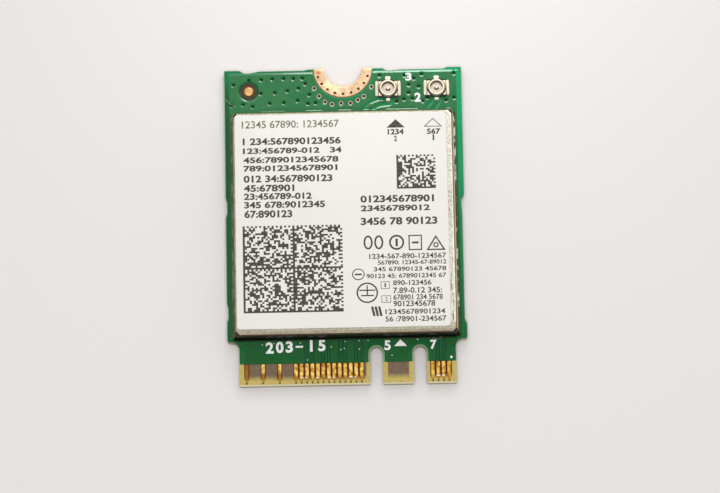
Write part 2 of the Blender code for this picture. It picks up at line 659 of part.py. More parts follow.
def make_chip(name, size, centre, turned, finish):
    """Chip part: a bar whose two plated ends stand a little proud of its body."""
    half_long, half_wide = size[0] / 2, size[1] / 2
    share = 1.0 - 2.0 * CHIP_END_SHARE
    stations = ((-1.0, 0.0), (-share, 0.0), (-share, CHIP_BODY_STEP),
                (share, CHIP_BODY_STEP), (share, 0.0), (1.0, 0.0))
    bm = bmesh.new()
    loops = []
    for reach, step in stations:
        corners = ((-half_wide + step, step), (half_wide - step, step),
                   (half_wide - step, size[2] - step), (-half_wide + step, size[2] - step))
        loop = []
        for across, height in corners:
            place = (-across, reach * half_long) if turned else (reach * half_long, across)
            loop.append(bm.verts.new((centre[0] + place[0], centre[1] + place[1], PART_FLOOR + height)))
        loops.append(loop)
    for a, b in zip(loops, loops[1:]):
        for i in range(len(a)):
            j = (i + 1) % len(a)
            bm.faces.new((a[i], a[j], b[j], b[i]))
    bm.faces.new(loops[0][::-1])
    bm.faces.new(loops[-1])
    add_object(name, bm, finish)


def make_chip_rows(kind, rows, finish):
    number = 0
    for size, first, step, count, turned in rows:
        for i in range(count):
            number += 1
            centre = inner_place((first[0] + i * step[0], first[1] + i * step[1]))
            make_chip("%s_%02d" % (kind, number), size, centre, turned, finish)


def make_processor(finish):
    """Radio processor: a moulded cap on a slightly wider substrate, with a first-pin dimple."""
    x, y = inner_place(PROCESSOR_PLACE)
    half = PROCESSOR_SIDE / 2
    floor = PART_FLOOR
    bm = bmesh.new()
    add_box(bm, (x - half, y - half, floor), (x + half, y + half, floor + SUBSTRATE_HEIGHT))
    processor = add_object("wireless_processor", bm, finish)
    cap = bmesh.new()
    half -= SUBSTRATE_RIM
    top = floor + PROCESSOR_HEIGHT
    lifted = add_box(cap, (x - half, y - half, floor + SUBSTRATE_HEIGHT / 2), (x + half, y + half, top))
    ease_crown(cap, lifted, PACKAGE_BEVEL)
    combine(processor, add_object("tool_processor_cap", cap), "UNION")
    dimple = bmesh.new()
    corner = (x - half + DIMPLE_INSET, y + half - DIMPLE_INSET)
    add_prism(dimple, circle(corner, DIMPLE_RADIUS, ROUND_STEPS), top - DIMPLE_DEPTH, top + DIMPLE_DEPTH)
    combine(processor, add_object("tool_processor_dimple", dimple), "DIFFERENCE")


def make_crystal(base_finish, lid_finish):
    """Clock crystal: a ceramic tray closed by a welded metal lid."""
    x, y = inner_place(CRYSTAL_PLACE)
    make_package("crystal_base", CRYSTAL_SIZE, (x, y), base_finish)
    half_x = CRYSTAL_SIZE[0] / 2 - CRYSTAL_LID_RIM
    half_y = CRYSTAL_SIZE[1] / 2 - CRYSTAL_LID_RIM
    low = PART_FLOOR + CRYSTAL_SIZE[2] + SEAT_GAP
    bm = bmesh.new()
    outline = rounded_rectangle((x - half_x, y - half_y), (x + half_x, y + half_y), CRYSTAL_LID_RIM)
    add_prism(bm, outline, low, low + CRYSTAL_LID_SHEET)
    add_object("crystal_lid", bm, lid_finish)


def make_inner_parts(finishes):
    """Everything that the can covers."""
    make_processor(finishes["mould"])
    make_crystal(finishes["ceramic"], finishes["lid"])
    for name, (size, shares) in MODULES.items():
        make_package(name, size, inner_place(shares), finishes["mould"])
    for name, (size, shares) in FILTERS.items():
        make_chip(name, size, inner_place(shares), False, finishes["filter"])
    for name, (size, shares) in INDUCTORS.items():
        make_chip(name, size, inner_place(shares), False, finishes["inductor"])
    make_chip_rows("capacitor", CAPACITOR_ROWS, finishes["capacitor"])
    make_chip_rows("resistor", RESISTOR_ROWS, finishes["resistor"])


def make_finishes():
    gold = (0.78, 0.52, 0.20)
    return {
        "board": material("green_solder_mask", (0.03, 0.22, 0.08), 0.35, 0.0),
        "copper": material("bare_copper", (0.75, 0.42, 0.26), 0.35, 1.0),
        "sheet": material("nickel_silver_sheet", (0.60, 0.58, 0.50), 0.38, 1.0),
        "paper": material("white_label_paper", (0.84, 0.83, 0.80), 0.55, 0.0),
        "shell": material("plated_contact_shell", (0.80, 0.72, 0.56), 0.25, 1.0),
        "plastic": material("pale_moulded_base", (0.74, 0.68, 0.58), 0.50, 0.0),
        "gold": material("gold_plated_contact", gold, 0.22, 1.0),
        "mould": material("black_package_mould", (0.02, 0.02, 0.02), 0.55, 0.0),
        "ceramic": material("grey_ceramic_tray", (0.36, 0.34, 0.31), 0.60, 0.0),
        "lid": material("plated_crystal_lid", gold, 0.30, 1.0),
        "filter": material("white_filter_ceramic", (0.62, 0.60, 0.55), 0.45, 0.0),
        "inductor": material("grey_ferrite_block", (0.10, 0.10, 0.11), 0.60, 0.0),
        "capacitor": material("tan_capacitor_ceramic", (0.42, 0.28, 0.17), 0.45, 0.0),
        "resistor": material("black_resistor_glaze", (0.03, 0.03, 0.035), 0.35, 0.0),
    }


clear_scene()
finishes = make_finishes()
make_board(finishes["board"])
make_mounting_land(finishes["copper"])
make_shield_can(finishes["sheet"])
make_label(finishes["paper"])
for coax_name, from_right in COAX_FROM_RIGHT.items():
    coax_centre = (CARD_WIDTH / 2 - from_right, CARD_LENGTH / 2 - COAX_FROM_BACK)
    make_coax(coax_name, coax_centre, finishes["shell"], finishes["plastic"], finishes["gold"])
make_inner_parts(finishes)
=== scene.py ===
# %% [markdown]
# # A laptop wireless card, dressed for its photograph
# The object is a plug-in board of 22 by 30 mm: a green circuit board with a gold-fingered tongue,
# a pressed metal can with a paper label on it, two tiny coax receptacles and a copper half-hole for a screw.
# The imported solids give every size. This script gives them their surfaces, and puts finer pieces
# in the place of those that need them. All places below are in millimetres, and MM turns them into metres.
# Sizes that several steps share are named first: the half widths of card and tongue, the back edge,
# the green coat's front line, the height of the board's middle, and the can's sheet, corners and bend.

import math
import random

import bpy
import numpy as np
from mathutils import Matrix, Vector


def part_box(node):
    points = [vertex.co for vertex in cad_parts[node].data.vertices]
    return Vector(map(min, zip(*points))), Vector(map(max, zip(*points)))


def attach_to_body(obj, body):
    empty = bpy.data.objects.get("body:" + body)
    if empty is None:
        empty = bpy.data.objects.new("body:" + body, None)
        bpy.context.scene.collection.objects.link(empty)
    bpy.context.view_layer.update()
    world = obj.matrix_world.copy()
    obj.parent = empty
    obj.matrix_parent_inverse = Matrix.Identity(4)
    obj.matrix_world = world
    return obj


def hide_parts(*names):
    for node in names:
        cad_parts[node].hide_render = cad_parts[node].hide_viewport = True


MM = 0.001
GRAIN_DEPTH = 0.01 * MM
CARD_HALF, TONGUE_HALF, BACK_EDGE, MASK_FRONT = 11.0, 9.925, 15.0, -12.97
BOARD_MIDDLE = 0.40
CAN_SHEET, CAN_CORNER, CAN_BEND = 0.15, 0.36, 0.28
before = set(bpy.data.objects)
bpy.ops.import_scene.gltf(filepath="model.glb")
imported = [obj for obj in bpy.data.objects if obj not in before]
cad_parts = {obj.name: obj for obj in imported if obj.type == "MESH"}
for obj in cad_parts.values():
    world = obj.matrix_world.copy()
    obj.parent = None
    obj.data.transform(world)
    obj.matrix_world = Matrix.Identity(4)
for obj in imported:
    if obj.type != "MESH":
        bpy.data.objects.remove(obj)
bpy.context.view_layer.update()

# %% [markdown]
# ## The camera
# The card fills only the middle of the picture, and the can's front wall is just in view,
# so the camera stands well back with a long lens, 14 degrees towards the tongue from straight above.
# The focal length is worked out from pixels per millimetre in a picture 720 pixels wide.

# %% Camera
CAMERA_TARGET = Vector((1.31, -2.05, 0.80)) * MM
CAMERA_TILT = math.radians(14.0)
CAMERA_ROLL = math.radians(-1.10)
CAMERA_DISTANCE = 426.0 * MM
FOCAL_PIXELS = 4631.0
PICTURE_WIDTH = 720.0

back = Vector((0.0, -math.sin(CAMERA_TILT), math.cos(CAMERA_TILT)))
right = Vector((1.0, 0.0, 0.0))
up = back.cross(right)
turned_right = math.cos(CAMERA_ROLL) * right + math.sin(CAMERA_ROLL) * up
turned_up = math.cos(CAMERA_ROLL) * up - math.sin(CAMERA_ROLL) * right
stand = CAMERA_TARGET + back * CAMERA_DISTANCE

lens = bpy.data.cameras.new("photo_camera")
lens.sensor_width = 36.0
lens.lens = FOCAL_PIXELS * lens.sensor_width / PICTURE_WIDTH
camera = bpy.data.objects.new("photo_camera", lens)
bpy.context.scene.collection.objects.link(camera)
axes = Matrix((turned_right, turned_up, back)).transposed().to_4x4()
camera.matrix_world = Matrix.Translation(stand) @ axes
bpy.context.scene.camera = camera
bpy.context.scene.view_settings.view_transform = "Standard"
print("focal length in mm:", round(lens.lens, 1))

# %% [markdown]
# ## Floor and light
# The card lies on a plain off-white sheet. A soft panel almost straight above gives most of the light, so
# shadows are short. A small one, close behind the card and to its right, draws the bright lines on raised
# copper and in the via dimples. As it is close, each dimple meets it from a different side.
# The room is darker towards the tongue, which the can's front bend mirrors; its darkness is also painted into
# the can's colour.

# %% Floor and light
def linear(code):
    """The linear colour of an sRGB hex value."""
    shares = [int(code[i:i + 2], 16) / 255.0 for i in (1, 3, 5)]
    return (*[s / 12.92 if s <= 0.04045 else ((s + 0.055) / 1.055) ** 2.4 for s in shares], 1.0)


def attach(tree, socket, value):
    """Gives a socket a plain value, or a link from an output or from a node's first output in use."""
    if isinstance(value, bpy.types.Node):
        value = next(output for output in value.outputs if output.enabled)
    if isinstance(value, bpy.types.NodeSocket):
        tree.links.new(value, socket)
    else:
        socket.default_value = value


def node(tree, kind, inputs=None, **settings):
    """Adds a shader node; inputs holds values, or what to link, by socket name or number."""
    made = tree.nodes.new("ShaderNode" + kind)
    for key, value in settings.items():
        setattr(made, key, value)
    for key, value in (inputs or {}).items():
        attach(tree, made.inputs[key], value)
    return made


def feed(shader, **sockets):
    """Sets or links the shader's own sockets, such as base_color or specular_ior_level."""
    for key, value in sockets.items():
        attach(shader.id_data, shader.inputs[key.replace("_", " ").title().replace("Ior", "IOR")], value)


def new_material(name, **sockets):
    """A material, its tree and its shader, whose plain values are set on its own sockets."""
    made = bpy.data.materials.new(name)
    made.use_nodes = True
    shader = made.node_tree.nodes["Principled BSDF"]
    feed(shader, **sockets)
    return made, made.node_tree, shader


def two_tone(name, dark, light, scale, detail=2.0, bump=0.0, **sockets):
    """A material whose colour wanders between two tones with a fine noise, which can be its bump too."""
    made, tree, shader = new_material(name, **sockets)
    place = node(tree, "TexCoord").outputs["Object"]
    grain = node(tree, "TexNoise", {"Vector": place, "Scale": scale, "Detail": detail})
    colour = node(tree, "Mix", {0: grain, 6: linear(dark), 7: linear(light)}, data_type="RGBA")
    feed(shader, base_color=colour)
    if bump:
        feed(shader, normal=node(tree, "Bump", {"Height": grain, "Strength": bump, "Distance": GRAIN_DEPTH}))
    return made


def panel(name, place, aim, width, height, power):
    """A soft light that faces a point; places and sizes in millimetres."""
    lamp = bpy.data.lights.new(name, "AREA")
    lamp.shape = "RECTANGLE"
    lamp.size, lamp.size_y = width * MM, height * MM
    lamp.energy = power
    made = bpy.data.objects.new(name, lamp)
    bpy.context.scene.collection.objects.link(made)
    made.location = Vector(place) * MM
    made.rotation_euler = (Vector(place) - Vector(aim)).to_track_quat("Z", "Y").to_euler()
    made.visible_camera = False
    return made


paper, _, _ = new_material("matt_white_backdrop_paper", base_color=linear("#e6e4e3"), roughness=0.9)
bpy.ops.mesh.primitive_circle_add(vertices=64, radius=3.0, fill_type="NGON", location=(0.0, 0.0, -0.00001))
floor = bpy.context.object
floor.name = "floor"
floor.data.materials.append(paper)

world = bpy.data.worlds.new("pale_room")
bpy.context.scene.world = world
world.use_nodes = True
tree = world.node_tree
tree.nodes.clear()
sideways, backwards, _ = node(tree, "SeparateXYZ", {0: node(tree, "TexCoord").outputs["Generated"]}).outputs
aside = node(tree, "Math", {0: sideways}, operation="ABSOLUTE")
share = node(tree, "Math", {0: aside, 1: 0.60, 2: backwards}, operation="MULTIPLY_ADD")
strength = node(tree, "MapRange", {"Value": share, "From Min": -0.15, "From Max": 0.90,
                                   "To Min": 0.28, "To Max": 1.0})
sky = node(tree, "Background", {"Color": linear("#fbfaf8"), "Strength": strength})
node(tree, "OutputWorld", {"Surface": sky})

panel("overhead_panel", (0, -270, 900), (0, 0, 0), 620, 620, 3.88)
panel("back_panel", (7.5, 44, 35), (5, 13, 0), 27, 10, 0.0056)

# %% [markdown]
# ## Helpers for modelling by hand
# Blender's mesh operators act on whatever is selected, so each step first leaves one piece alone,
# and then picks its corners, edges or faces by their place.

# %% Helpers
def alone(piece):
    """Makes one piece the only selected one."""
    if bpy.context.object and bpy.context.object.mode != "OBJECT":
        bpy.ops.object.mode_set(mode="OBJECT")
    bpy.ops.object.select_all(action="DESELECT")
    piece.select_set(True)
    bpy.context.view_layer.objects.active = piece


def pick(piece, kind, wanted):
    """Leaves the piece in edit mode with only the parts selected whose ends pass a test, in mm."""
    alone(piece)
    bpy.ops.object.mode_set(mode="EDIT")
    bpy.ops.mesh.select_mode(type=kind)
    bpy.ops.mesh.select_all(action="DESELECT")
    bpy.ops.object.mode_set(mode="OBJECT")
    mesh = piece.data
    points = [v.co / MM for v in mesh.vertices]
    if kind == "VERT":
        for corner in mesh.vertices:
            corner.select = bool(wanted([points[corner.index]]))
    else:
        for part in (mesh.edges if kind == "EDGE" else mesh.polygons):
            part.select = bool(wanted([points[i] for i in part.vertices]))
    bpy.ops.object.mode_set(mode="EDIT")


def settle(piece):
    """Bakes an object's place, turn and size into its mesh."""
    alone(piece)
    bpy.ops.object.transform_apply(location=True, rotation=True, scale=True)


def use(piece, kind, **settings):
    """Adds a modifier and applies it."""
    alone(piece)
    step = piece.modifiers.new(kind.lower(), kind)
    for key, value in settings.items():
        setattr(step, key, value)
    bpy.ops.object.modifier_apply(modifier=step.name)


def block(name, low, high):
    """A box between two corners in mm, as the blank for a piece."""
    low, high = Vector(low), Vector(high)
    bpy.ops.mesh.primitive_cube_add(size=1.0, location=(low + high) / 2 * MM)
    made = bpy.context.object
    made.name = name
    made.scale = (high - low) * MM
    settle(made)
    return made


def disc(x, y, z, radius, depth, corners):
    """A round blank from the place of its middle, in mm."""
    bpy.ops.mesh.primitive_cylinder_add(vertices=corners, radius=radius * MM, depth=depth * MM,
                                        location=(x * MM, y * MM, z * MM))
    made = bpy.context.object
    settle(made)
    return made


def pressed_ball(x, y, z, radius, shares, segments, rings, turn=0.0):
    """A ball pressed to shares of its radius and turned on its upright axis, from its middle in mm."""
    bpy.ops.mesh.primitive_uv_sphere_add(segments=segments, ring_count=rings, radius=radius * MM)
    made = bpy.context.object
    made.scale = shares
    made.rotation_euler.z = math.radians(turn)
    made.location = (x * MM, y * MM, z * MM)
    settle(made)
    return made


def ease(piece, wanted, width, segments):
    """Rounds the edges whose ends pass a test with a bevel, in mm."""
    pick(piece, "EDGE", wanted)
    bpy.ops.mesh.bevel(offset=width * MM, segments=segments, affect="EDGES")
    bpy.ops.object.mode_set(mode="OBJECT")


def turn_over(piece):
    """Mirrors a piece of the board's upper side to its underside."""
    alone(piece)
    bpy.ops.object.mode_set(mode="EDIT")
    bpy.ops.mesh.select_all(action="SELECT")
    bpy.ops.transform.resize(value=(1.0, 1.0, -1.0), center_override=(0.0, 0.0, BOARD_MIDDLE * MM))
    bpy.ops.mesh.normals_make_consistent(inside=False)
    bpy.ops.object.mode_set(mode="OBJECT")


def join(pieces, name):
    """Joins finished pieces of one material into one."""
    alone(pieces[0])
    for piece in pieces:
        piece.select_set(True)
    bpy.ops.object.join()
    made = bpy.context.object
    made.name = name
    return made


def twin(piece, name):
    """A copy with its own mesh."""
    made = bpy.data.objects.new(name, piece.data.copy())
    bpy.context.scene.collection.objects.link(made)
    return made


def copy_of_solid(solid):
    """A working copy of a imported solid, its loose triangles merged and its flat faces made whole."""
    made = twin(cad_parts[solid], solid + "_copy")
    made.data.materials.clear()
    alone(made)
    bpy.ops.object.mode_set(mode="EDIT")
    bpy.ops.mesh.select_all(action="SELECT")
    bpy.ops.mesh.remove_doubles(threshold=0.0008 * MM)
    bpy.ops.mesh.dissolve_limited(angle_limit=math.radians(0.5))
    bpy.ops.object.mode_set(mode="OBJECT")
    return made


def finish(piece, material, slot, *solids, smooth=30.0):
    """Gives a finished piece its material, shading and body, and hides the solids it stands for; the slot is
    not used.
    """
    piece.data.materials.clear()
    piece.data.materials.append(material)
    alone(piece)
    if smooth:
        bpy.ops.object.shade_smooth_by_angle(angle=math.radians(smooth))
    else:
        bpy.ops.object.shade_flat()
    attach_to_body(piece, "root")
    if solids:
        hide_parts(*solids)
    print(piece.name, "faces:", len(piece.data.polygons))


can_low, can_high = [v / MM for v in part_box("shield_can")]
label_top = (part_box("label")[1] / MM).z
print("can in mm:", [round(v, 2) for v in (*can_low, *can_high)])

# %% [markdown]
# ## The glass-epoxy core
# The board's body is woven glass in epoxy resin. It shows as a thin rim round the green coat,
# as the pale yellow tongue between the gold fingers, and as the brownish sawn edge.
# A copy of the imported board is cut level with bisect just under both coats, which leaves the bare core.

# %% Core
CORE_TOP, CORE_BOTTOM, SEAM = 0.74, 0.06, 0.0004
board_copy = copy_of_solid("circuit_board")
core = twin(board_copy, "glass_epoxy_core")
for level, upwards in ((CORE_TOP - SEAM, 1.0), (CORE_BOTTOM + SEAM, -1.0)):
    alone(core)
    bpy.ops.object.mode_set(mode="EDIT")
    bpy.ops.mesh.select_all(action="SELECT")
    bpy.ops.mesh.bisect(plane_co=(0.0, 0.0, level * MM), plane_no=(0.0, 0.0, upwards),
                        use_fill=True, clear_outer=True, threshold=0.0001 * MM)
    bpy.ops.object.mode_set(mode="OBJECT")
print("core faces:", len(core.data.polygons))

# %% [markdown]
# Glass epoxy (FR-4) is pale straw yellow and a little see-through. Where inner copper layers end
# just above the tongue's tip they show through as a grey-mauve field, flux has stained the gaps
# between the fingers red-brown, and the sawn edges are brown with cut glass. A fine grain stands for
# the weave, which hardly shows at this size.

# %% Glass-epoxy material
laminate, tree, shader = new_material("sawn_glass_epoxy_laminate", roughness=0.45, ior=1.5,
                                      specular_ior_level=0.15)
place = node(tree, "TexCoord").outputs["Object"]
at_x, at_y, _ = node(tree, "SeparateXYZ", {0: place}).outputs
grain = node(tree, "TexNoise", {"Vector": place, "Scale": 2600.0, "Detail": 3.0})
blotch = node(tree, "TexNoise", {"Vector": place, "Scale": 500.0, "Detail": 4.0})
straw = node(tree, "Mix", {0: grain, 6: linear("#b29c54"), 7: linear("#d0bd6f")}, data_type="RGBA")
mauve = node(tree, "Mix", {0: grain, 6: linear("#655446"), 7: linear("#846e56")}, data_type="RGBA")


def between(low, high, ramp, socket):
    """1 between two places in mm along one axis, falling to 0 over a ramp outside them."""
    rise = node(tree, "MapRange", {"Value": socket, "From Min": (low - ramp) * MM, "From Max": low * MM})
    fall = node(tree, "MapRange", {"Value": socket, "From Min": high * MM, "From Max": (high + ramp) * MM,
                                   "To Min": 1.0, "To Max": 0.0})
    return node(tree, "Math", {0: rise, 1: fall}, operation="MINIMUM")


def bands(spans, ramp, back_end):
    """1 in any of the spans across the tongue, fading out in front of a ragged line near its tip."""
    share = None
    for left, side in spans:
        band = between(left, side, ramp, at_x)
        share = band if share is None else node(tree, "Math", {0: share, 1: band}, operation="MAXIMUM")
    end = node(tree, "MapRange", {"Value": ragged_y, "From Min": -14.40 * MM, "From Max": back_end * MM})
    return node(tree, "Math", {0: share, 1: end}, operation="MULTIPLY")


ragged_y = node(tree, "Math", {0: blotch, 1: 0.30 * MM, 2: at_y}, operation="MULTIPLY_ADD")
fields = bands(((-9.35, 1.62), (3.72, 5.52), (7.62, 9.42)), 0.14, -13.90)
flux = bands(((-4.95, 1.45), (7.55, 9.45), (-9.45, -9.05), (-7.95, -7.55), (-6.45, -6.05)), 0.08, -13.95)
faces = node(tree, "SeparateXYZ", {0: node(tree, "NewGeometry").outputs["Normal"]})
flat = node(tree, "Math", {0: faces.outputs["Z"]}, operation="ABSOLUTE")
sawn = node(tree, "MapRange", {"Value": flat, "From Min": 0.3, "From Max": 0.6, "To Min": 1.0, "To Max": 0.0})
top = node(tree, "Mix", {0: fields, 6: straw, 7: mauve}, data_type="RGBA")
top = node(tree, "Mix", {0: flux, 6: top, 7: linear("#5e0c00")}, data_type="RGBA")
rim = node(tree, "MapRange", {"Value": at_y, "From Min": MASK_FRONT * MM, "From Max": -12.93 * MM})
far_rim = node(tree, "MapRange", {"Value": at_y, "From Min": -11.5 * MM, "From Max": -10.6 * MM})
rim_tone = node(tree, "Mix", {0: far_rim, 6: linear("#819e6f"), 7: linear("#568f64")}, data_type="RGBA")
top = node(tree, "Mix", {0: rim, 6: top, 7: rim_tone}, data_type="RGBA")
eased = node(tree, "MapRange", {"Value": flat, "From Min": 0.85, "From Max": 0.97,
                                "To Min": 1.0, "To Max": 0.0})
top = node(tree, "Mix", {0: eased, 6: top, 7: linear("#e4ddb8")}, data_type="RGBA")
edge = node(tree, "Mix", {0: blotch, 6: linear("#8a7668"), 7: linear("#bcab9e")}, data_type="RGBA")
colour = node(tree, "Mix", {0: sawn, 6: top, 7: edge}, data_type="RGBA")
bump = node(tree, "Bump", {"Height": grain, "Strength": 0.25, "Distance": GRAIN_DEPTH})
feed(shader, base_color=colour, normal=bump)
finish(core, laminate, "green_solder_mask", "circuit_board", smooth=0)

# %% [markdown]
# ## What lies under the green coat
# Solder mask is a thin green lacquer that follows the copper beneath it. Over the copper planes
# it stands a little higher and looks duller, over bare laminate it is lower and more vivid, and over
# a covered via it sinks into a dimple. One function gives the height at each place,
# and the sheets and their colours both read it.

# %% Height of the coat
EDGE_RISE = (0.28, 0.46)
FIDUCIAL = (-8.74, 12.98)
KEY_SLOTS = (2.625, 6.625)
COVERED_VIAS = (
    (-10.15, 13.62), (-8.71, 14.06), (-7.56, 14.08), (-6.53, 14.13), (-5.49, 14.16), (-4.58, 14.13),
    (-3.74, 14.15), (-3.48, 13.63), (-7.63, 12.75), (-6.31, 12.79), (-5.15, 12.96), (-4.12, 13.18),
    (-3.13, 12.56), (-9.27, 11.72), (-8.39, 11.51), (-6.80, 11.79), (-5.49, 11.83), (-4.21, 12.00),
    (-3.26, 11.71), (-2.55, 11.76), (-10.34, 11.64), (3.42, 14.29), (5.75, 14.25), (6.60, 13.96),
    (7.33, 14.35), (6.11, 13.35), (7.04, 13.17), (6.09, 12.58), (10.31, 14.39), (10.29, 12.03),
    (7.81, 12.09), (6.44, 12.01), (5.64, 11.97), (4.96, 11.75), (7.36, 11.77), (9.55, 11.80))
PALE_DOT_VIAS = (
    (-7.81, -11.15), (-6.75, -11.05), (-5.45, -10.98), (-7.35, -11.85), (-3.70, -12.65), (-4.32, -11.05),
    (-1.50, -11.45), (-0.30, -11.62), (-0.21, -10.98), (1.05, -10.92), (1.88, -10.92), (1.08, -11.72),
    (-0.62, -11.72), (6.42, -10.90), (4.05, -12.35))
OPEN_VIAS = ((-2.66, 13.16), (-2.23, 12.40), (-1.68, 11.84), (-1.02, 11.61), (-0.18, 11.67),
             (0.68, 11.68), (1.37, 11.97), (1.93, 12.32), (2.64, 13.22))
AERIAL_TRACES = (((4.18, 11.75), (3.35, 11.66), (2.60, 11.38), (2.10, 10.95), (1.95, 10.50)),
                 ((8.68, 11.80), (8.45, 11.45), (8.15, 11.05), (8.05, 10.50)))
FINGER_TRACES = tuple(((x, -12.9), (x, -12.3), (x + bend, -11.7), (x + bend, -10.5)) for x, bend in (
    (-3.75, -0.10), (-3.25, 0.05), (-2.25, -0.12), (-1.75, 0.0), (-0.75, 0.06), (-0.25, 0.0),
    (1.25, 0.0), (0.75, 0.0), (8.25, 0.0), (8.75, 0.12)))
LEDGE_SPANS = ((-7.7, -5.2), (-3.6, -1.8), (-0.6, 0.9), (1.8, 3.1), (3.8, 7.1), (9.4, 10.1))
RAMP = 0.17


def rise(distance, start, end):
    """0 before start, 1 after end and an even slope between, which the light finds as one plane."""
    return np.clip((distance - start) / (end - start), 0.0, 1.0)


def distance_to_line(x, y, points):
    """Distance in mm of each place from a line through several points."""
    least = np.full(x.shape, 1e6)
    for (ax, ay), (bx, by) in zip(points, points[1:]):
        length = (bx - ax) ** 2 + (by - ay) ** 2
        share = np.clip(((x - ax) * (bx - ax) + (y - ay) * (by - ay)) / length, 0.0, 1.0)
        least = np.minimum(least, np.hypot(x - ax - share * (bx - ax), y - ay - share * (by - ay)))
    return least


def coat(x, y, with_traces=True):
    """Height of the mask's surface above the core, copper share and via share, at places in mm."""
    half = TONGUE_HALF + (CARD_HALF - TONGUE_HALF) * rise(y, -11.6, -10.9)
    inside = np.minimum(half - np.abs(x), BACK_EDGE - y)
    land = np.hypot(x, y - BACK_EDGE)
    mark = np.hypot(x - FIDUCIAL[0], y - FIDUCIAL[1])
    slope = rise(inside, *EDGE_RISE)
    gap = np.zeros(x.shape)
    copper = rise(inside, 0.42, 0.50) * (0.45 + 0.55 * rise(land, 2.98, 3.10))
    for key in KEY_SLOTS:
        slot = np.hypot(x - key, np.maximum(y + 12.1, 0.0)) - 0.6
        slope = slope * rise(slot, 0.05, 0.70)
        copper = copper * rise(slot, 0.34, 0.46)
    if with_traces:
        for line in FINGER_TRACES:
            away = distance_to_line(x, y, line)
            copper = copper * (1.0 - 0.5 * (1.0 - rise(away, 0.20, 0.28)))
            gap = np.maximum(gap, 0.95 * rise(away, 0.05, 0.10) * (1.0 - rise(away, 0.14, 0.19)))
        for line in AERIAL_TRACES:
            away = distance_to_line(x, y, line)
            channel = rise(away, 0.13, 0.13 + RAMP) * (1.0 - rise(away, 0.33, 0.33 + RAMP))
            slope = slope * (1.0 - channel)
            copper = copper * (1.0 - channel)
    width = np.zeros(x.shape)
    for start, end in LEDGE_SPANS:
        width = np.maximum(width, 0.13 * rise(x, start, start + 0.25) * (1.0 - rise(x, end - 0.25, end)))
    ledge = 0.27 * np.clip(y - 10.98, 0.0, width) * (1.0 - rise(y, 11.13, 11.19))
    height = 0.007 - ledge + 0.047 * slope - 0.004 * np.exp(-np.maximum(inside, 0.0) / 0.10)
    height = height - 0.046 * (1.0 - rise(mark, 0.87, 1.05)) - 0.012 * (1.0 - rise(land, 2.78, 2.95))
    via = np.maximum(0.75 * (1.0 - rise(mark, 0.88, 1.0)), gap)
    for vx, vy in COVERED_VIAS:
        away = np.hypot(x - vx, y - vy)
        via = np.maximum(via, 1.0 - rise(away, 0.13, 0.24))
        height = height - 0.040 * (1.0 - rise(away, 0.13, 0.28)) - 0.006 * (1.0 - rise(away, 0.09, 0.13))
    for vx, vy in OPEN_VIAS:
        away = np.hypot(x - vx, y - vy)
        height = height - 0.030 * (1.0 - rise(away, 0.21, 0.27))
    for vx, vy in PALE_DOT_VIAS:
        away = np.hypot(x - vx, y - vy)
        via = np.maximum(via, 0.7 * (1.0 - rise(away, 0.10, 0.17)))
    return np.maximum(height, 0.002), copper, via


sample = coat(np.array([0.0, -8.0]), np.array([11.2, 13.6]))
print("coat heights in mm:", [round(float(v), 3) for v in sample[0]])

# %% [markdown]
# ## The two coats
# Each coat starts as a grid whose rows are close together where the board shows, and far apart
# under the can. Its corners are lifted to the height above, its rim is extruded down and closed,
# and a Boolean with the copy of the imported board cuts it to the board's true outline.

# %% Coats
GRID_STEP, UNDERSIDE_STEP = 0.055, 0.12


def rows_of_coat():
    """Places of the grid's rows from the mask's front line to the back edge."""
    front = np.arange(MASK_FRONT, -10.45, GRID_STEP)
    middle = np.arange(-10.40, 10.30, 0.45)
    rear = np.arange(10.32, 15.10, GRID_STEP)
    return np.concatenate([front, middle, rear])


def make_coat(name, columns, rows, with_traces):
    """A closed sheet over the core, whose top follows the coat's height at every grid corner."""
    bpy.ops.mesh.primitive_grid_add(x_subdivisions=len(columns) - 1, y_subdivisions=len(rows) - 1, size=1.0)
    sheet = bpy.context.object
    sheet.name = name
    points = np.zeros(len(sheet.data.vertices) * 3)
    sheet.data.vertices.foreach_get("co", points)
    points = points.reshape(-1, 3)
    x = columns[np.rint((points[:, 0] + 0.5) * (len(columns) - 1)).astype(int)]
    y = rows[np.rint((points[:, 1] + 0.5) * (len(rows) - 1)).astype(int)]
    height = coat(x, y, with_traces)[0]
    points = np.stack([x, y, CORE_TOP + height], axis=1) * MM
    sheet.data.vertices.foreach_set("co", points.ravel())
    alone(sheet)
    bpy.ops.object.mode_set(mode="EDIT")
    bpy.ops.mesh.select_mode(type="FACE")
    bpy.ops.mesh.select_all(action="SELECT")
    bpy.ops.mesh.region_to_loop()
    bpy.ops.mesh.extrude_edges_move()
    bpy.ops.object.mode_set(mode="OBJECT")
    for corner in sheet.data.vertices:
        if corner.select:
            corner.co.z = (CORE_TOP + 0.0005) * MM
    bpy.ops.object.mode_set(mode="EDIT")
    bpy.ops.mesh.edge_face_add()
    bpy.ops.mesh.select_all(action="SELECT")
    bpy.ops.mesh.normals_make_consistent(inside=False)
    bpy.ops.object.mode_set(mode="OBJECT")
    return sheet


def cut_to_board(sheet):
    """Cuts a coat to the board's outline and empties the alignment dot's window."""
    use(sheet, "BOOLEAN", operation="INTERSECT", solver="EXACT", object=board_copy)
    pick(sheet, "FACE",
         lambda ends: all(math.hypot(p.x - FIDUCIAL[0], p.y - FIDUCIAL[1]) < 0.6 for p in ends))
    bpy.ops.mesh.delete(type="FACE")
    bpy.ops.object.mode_set(mode="OBJECT")


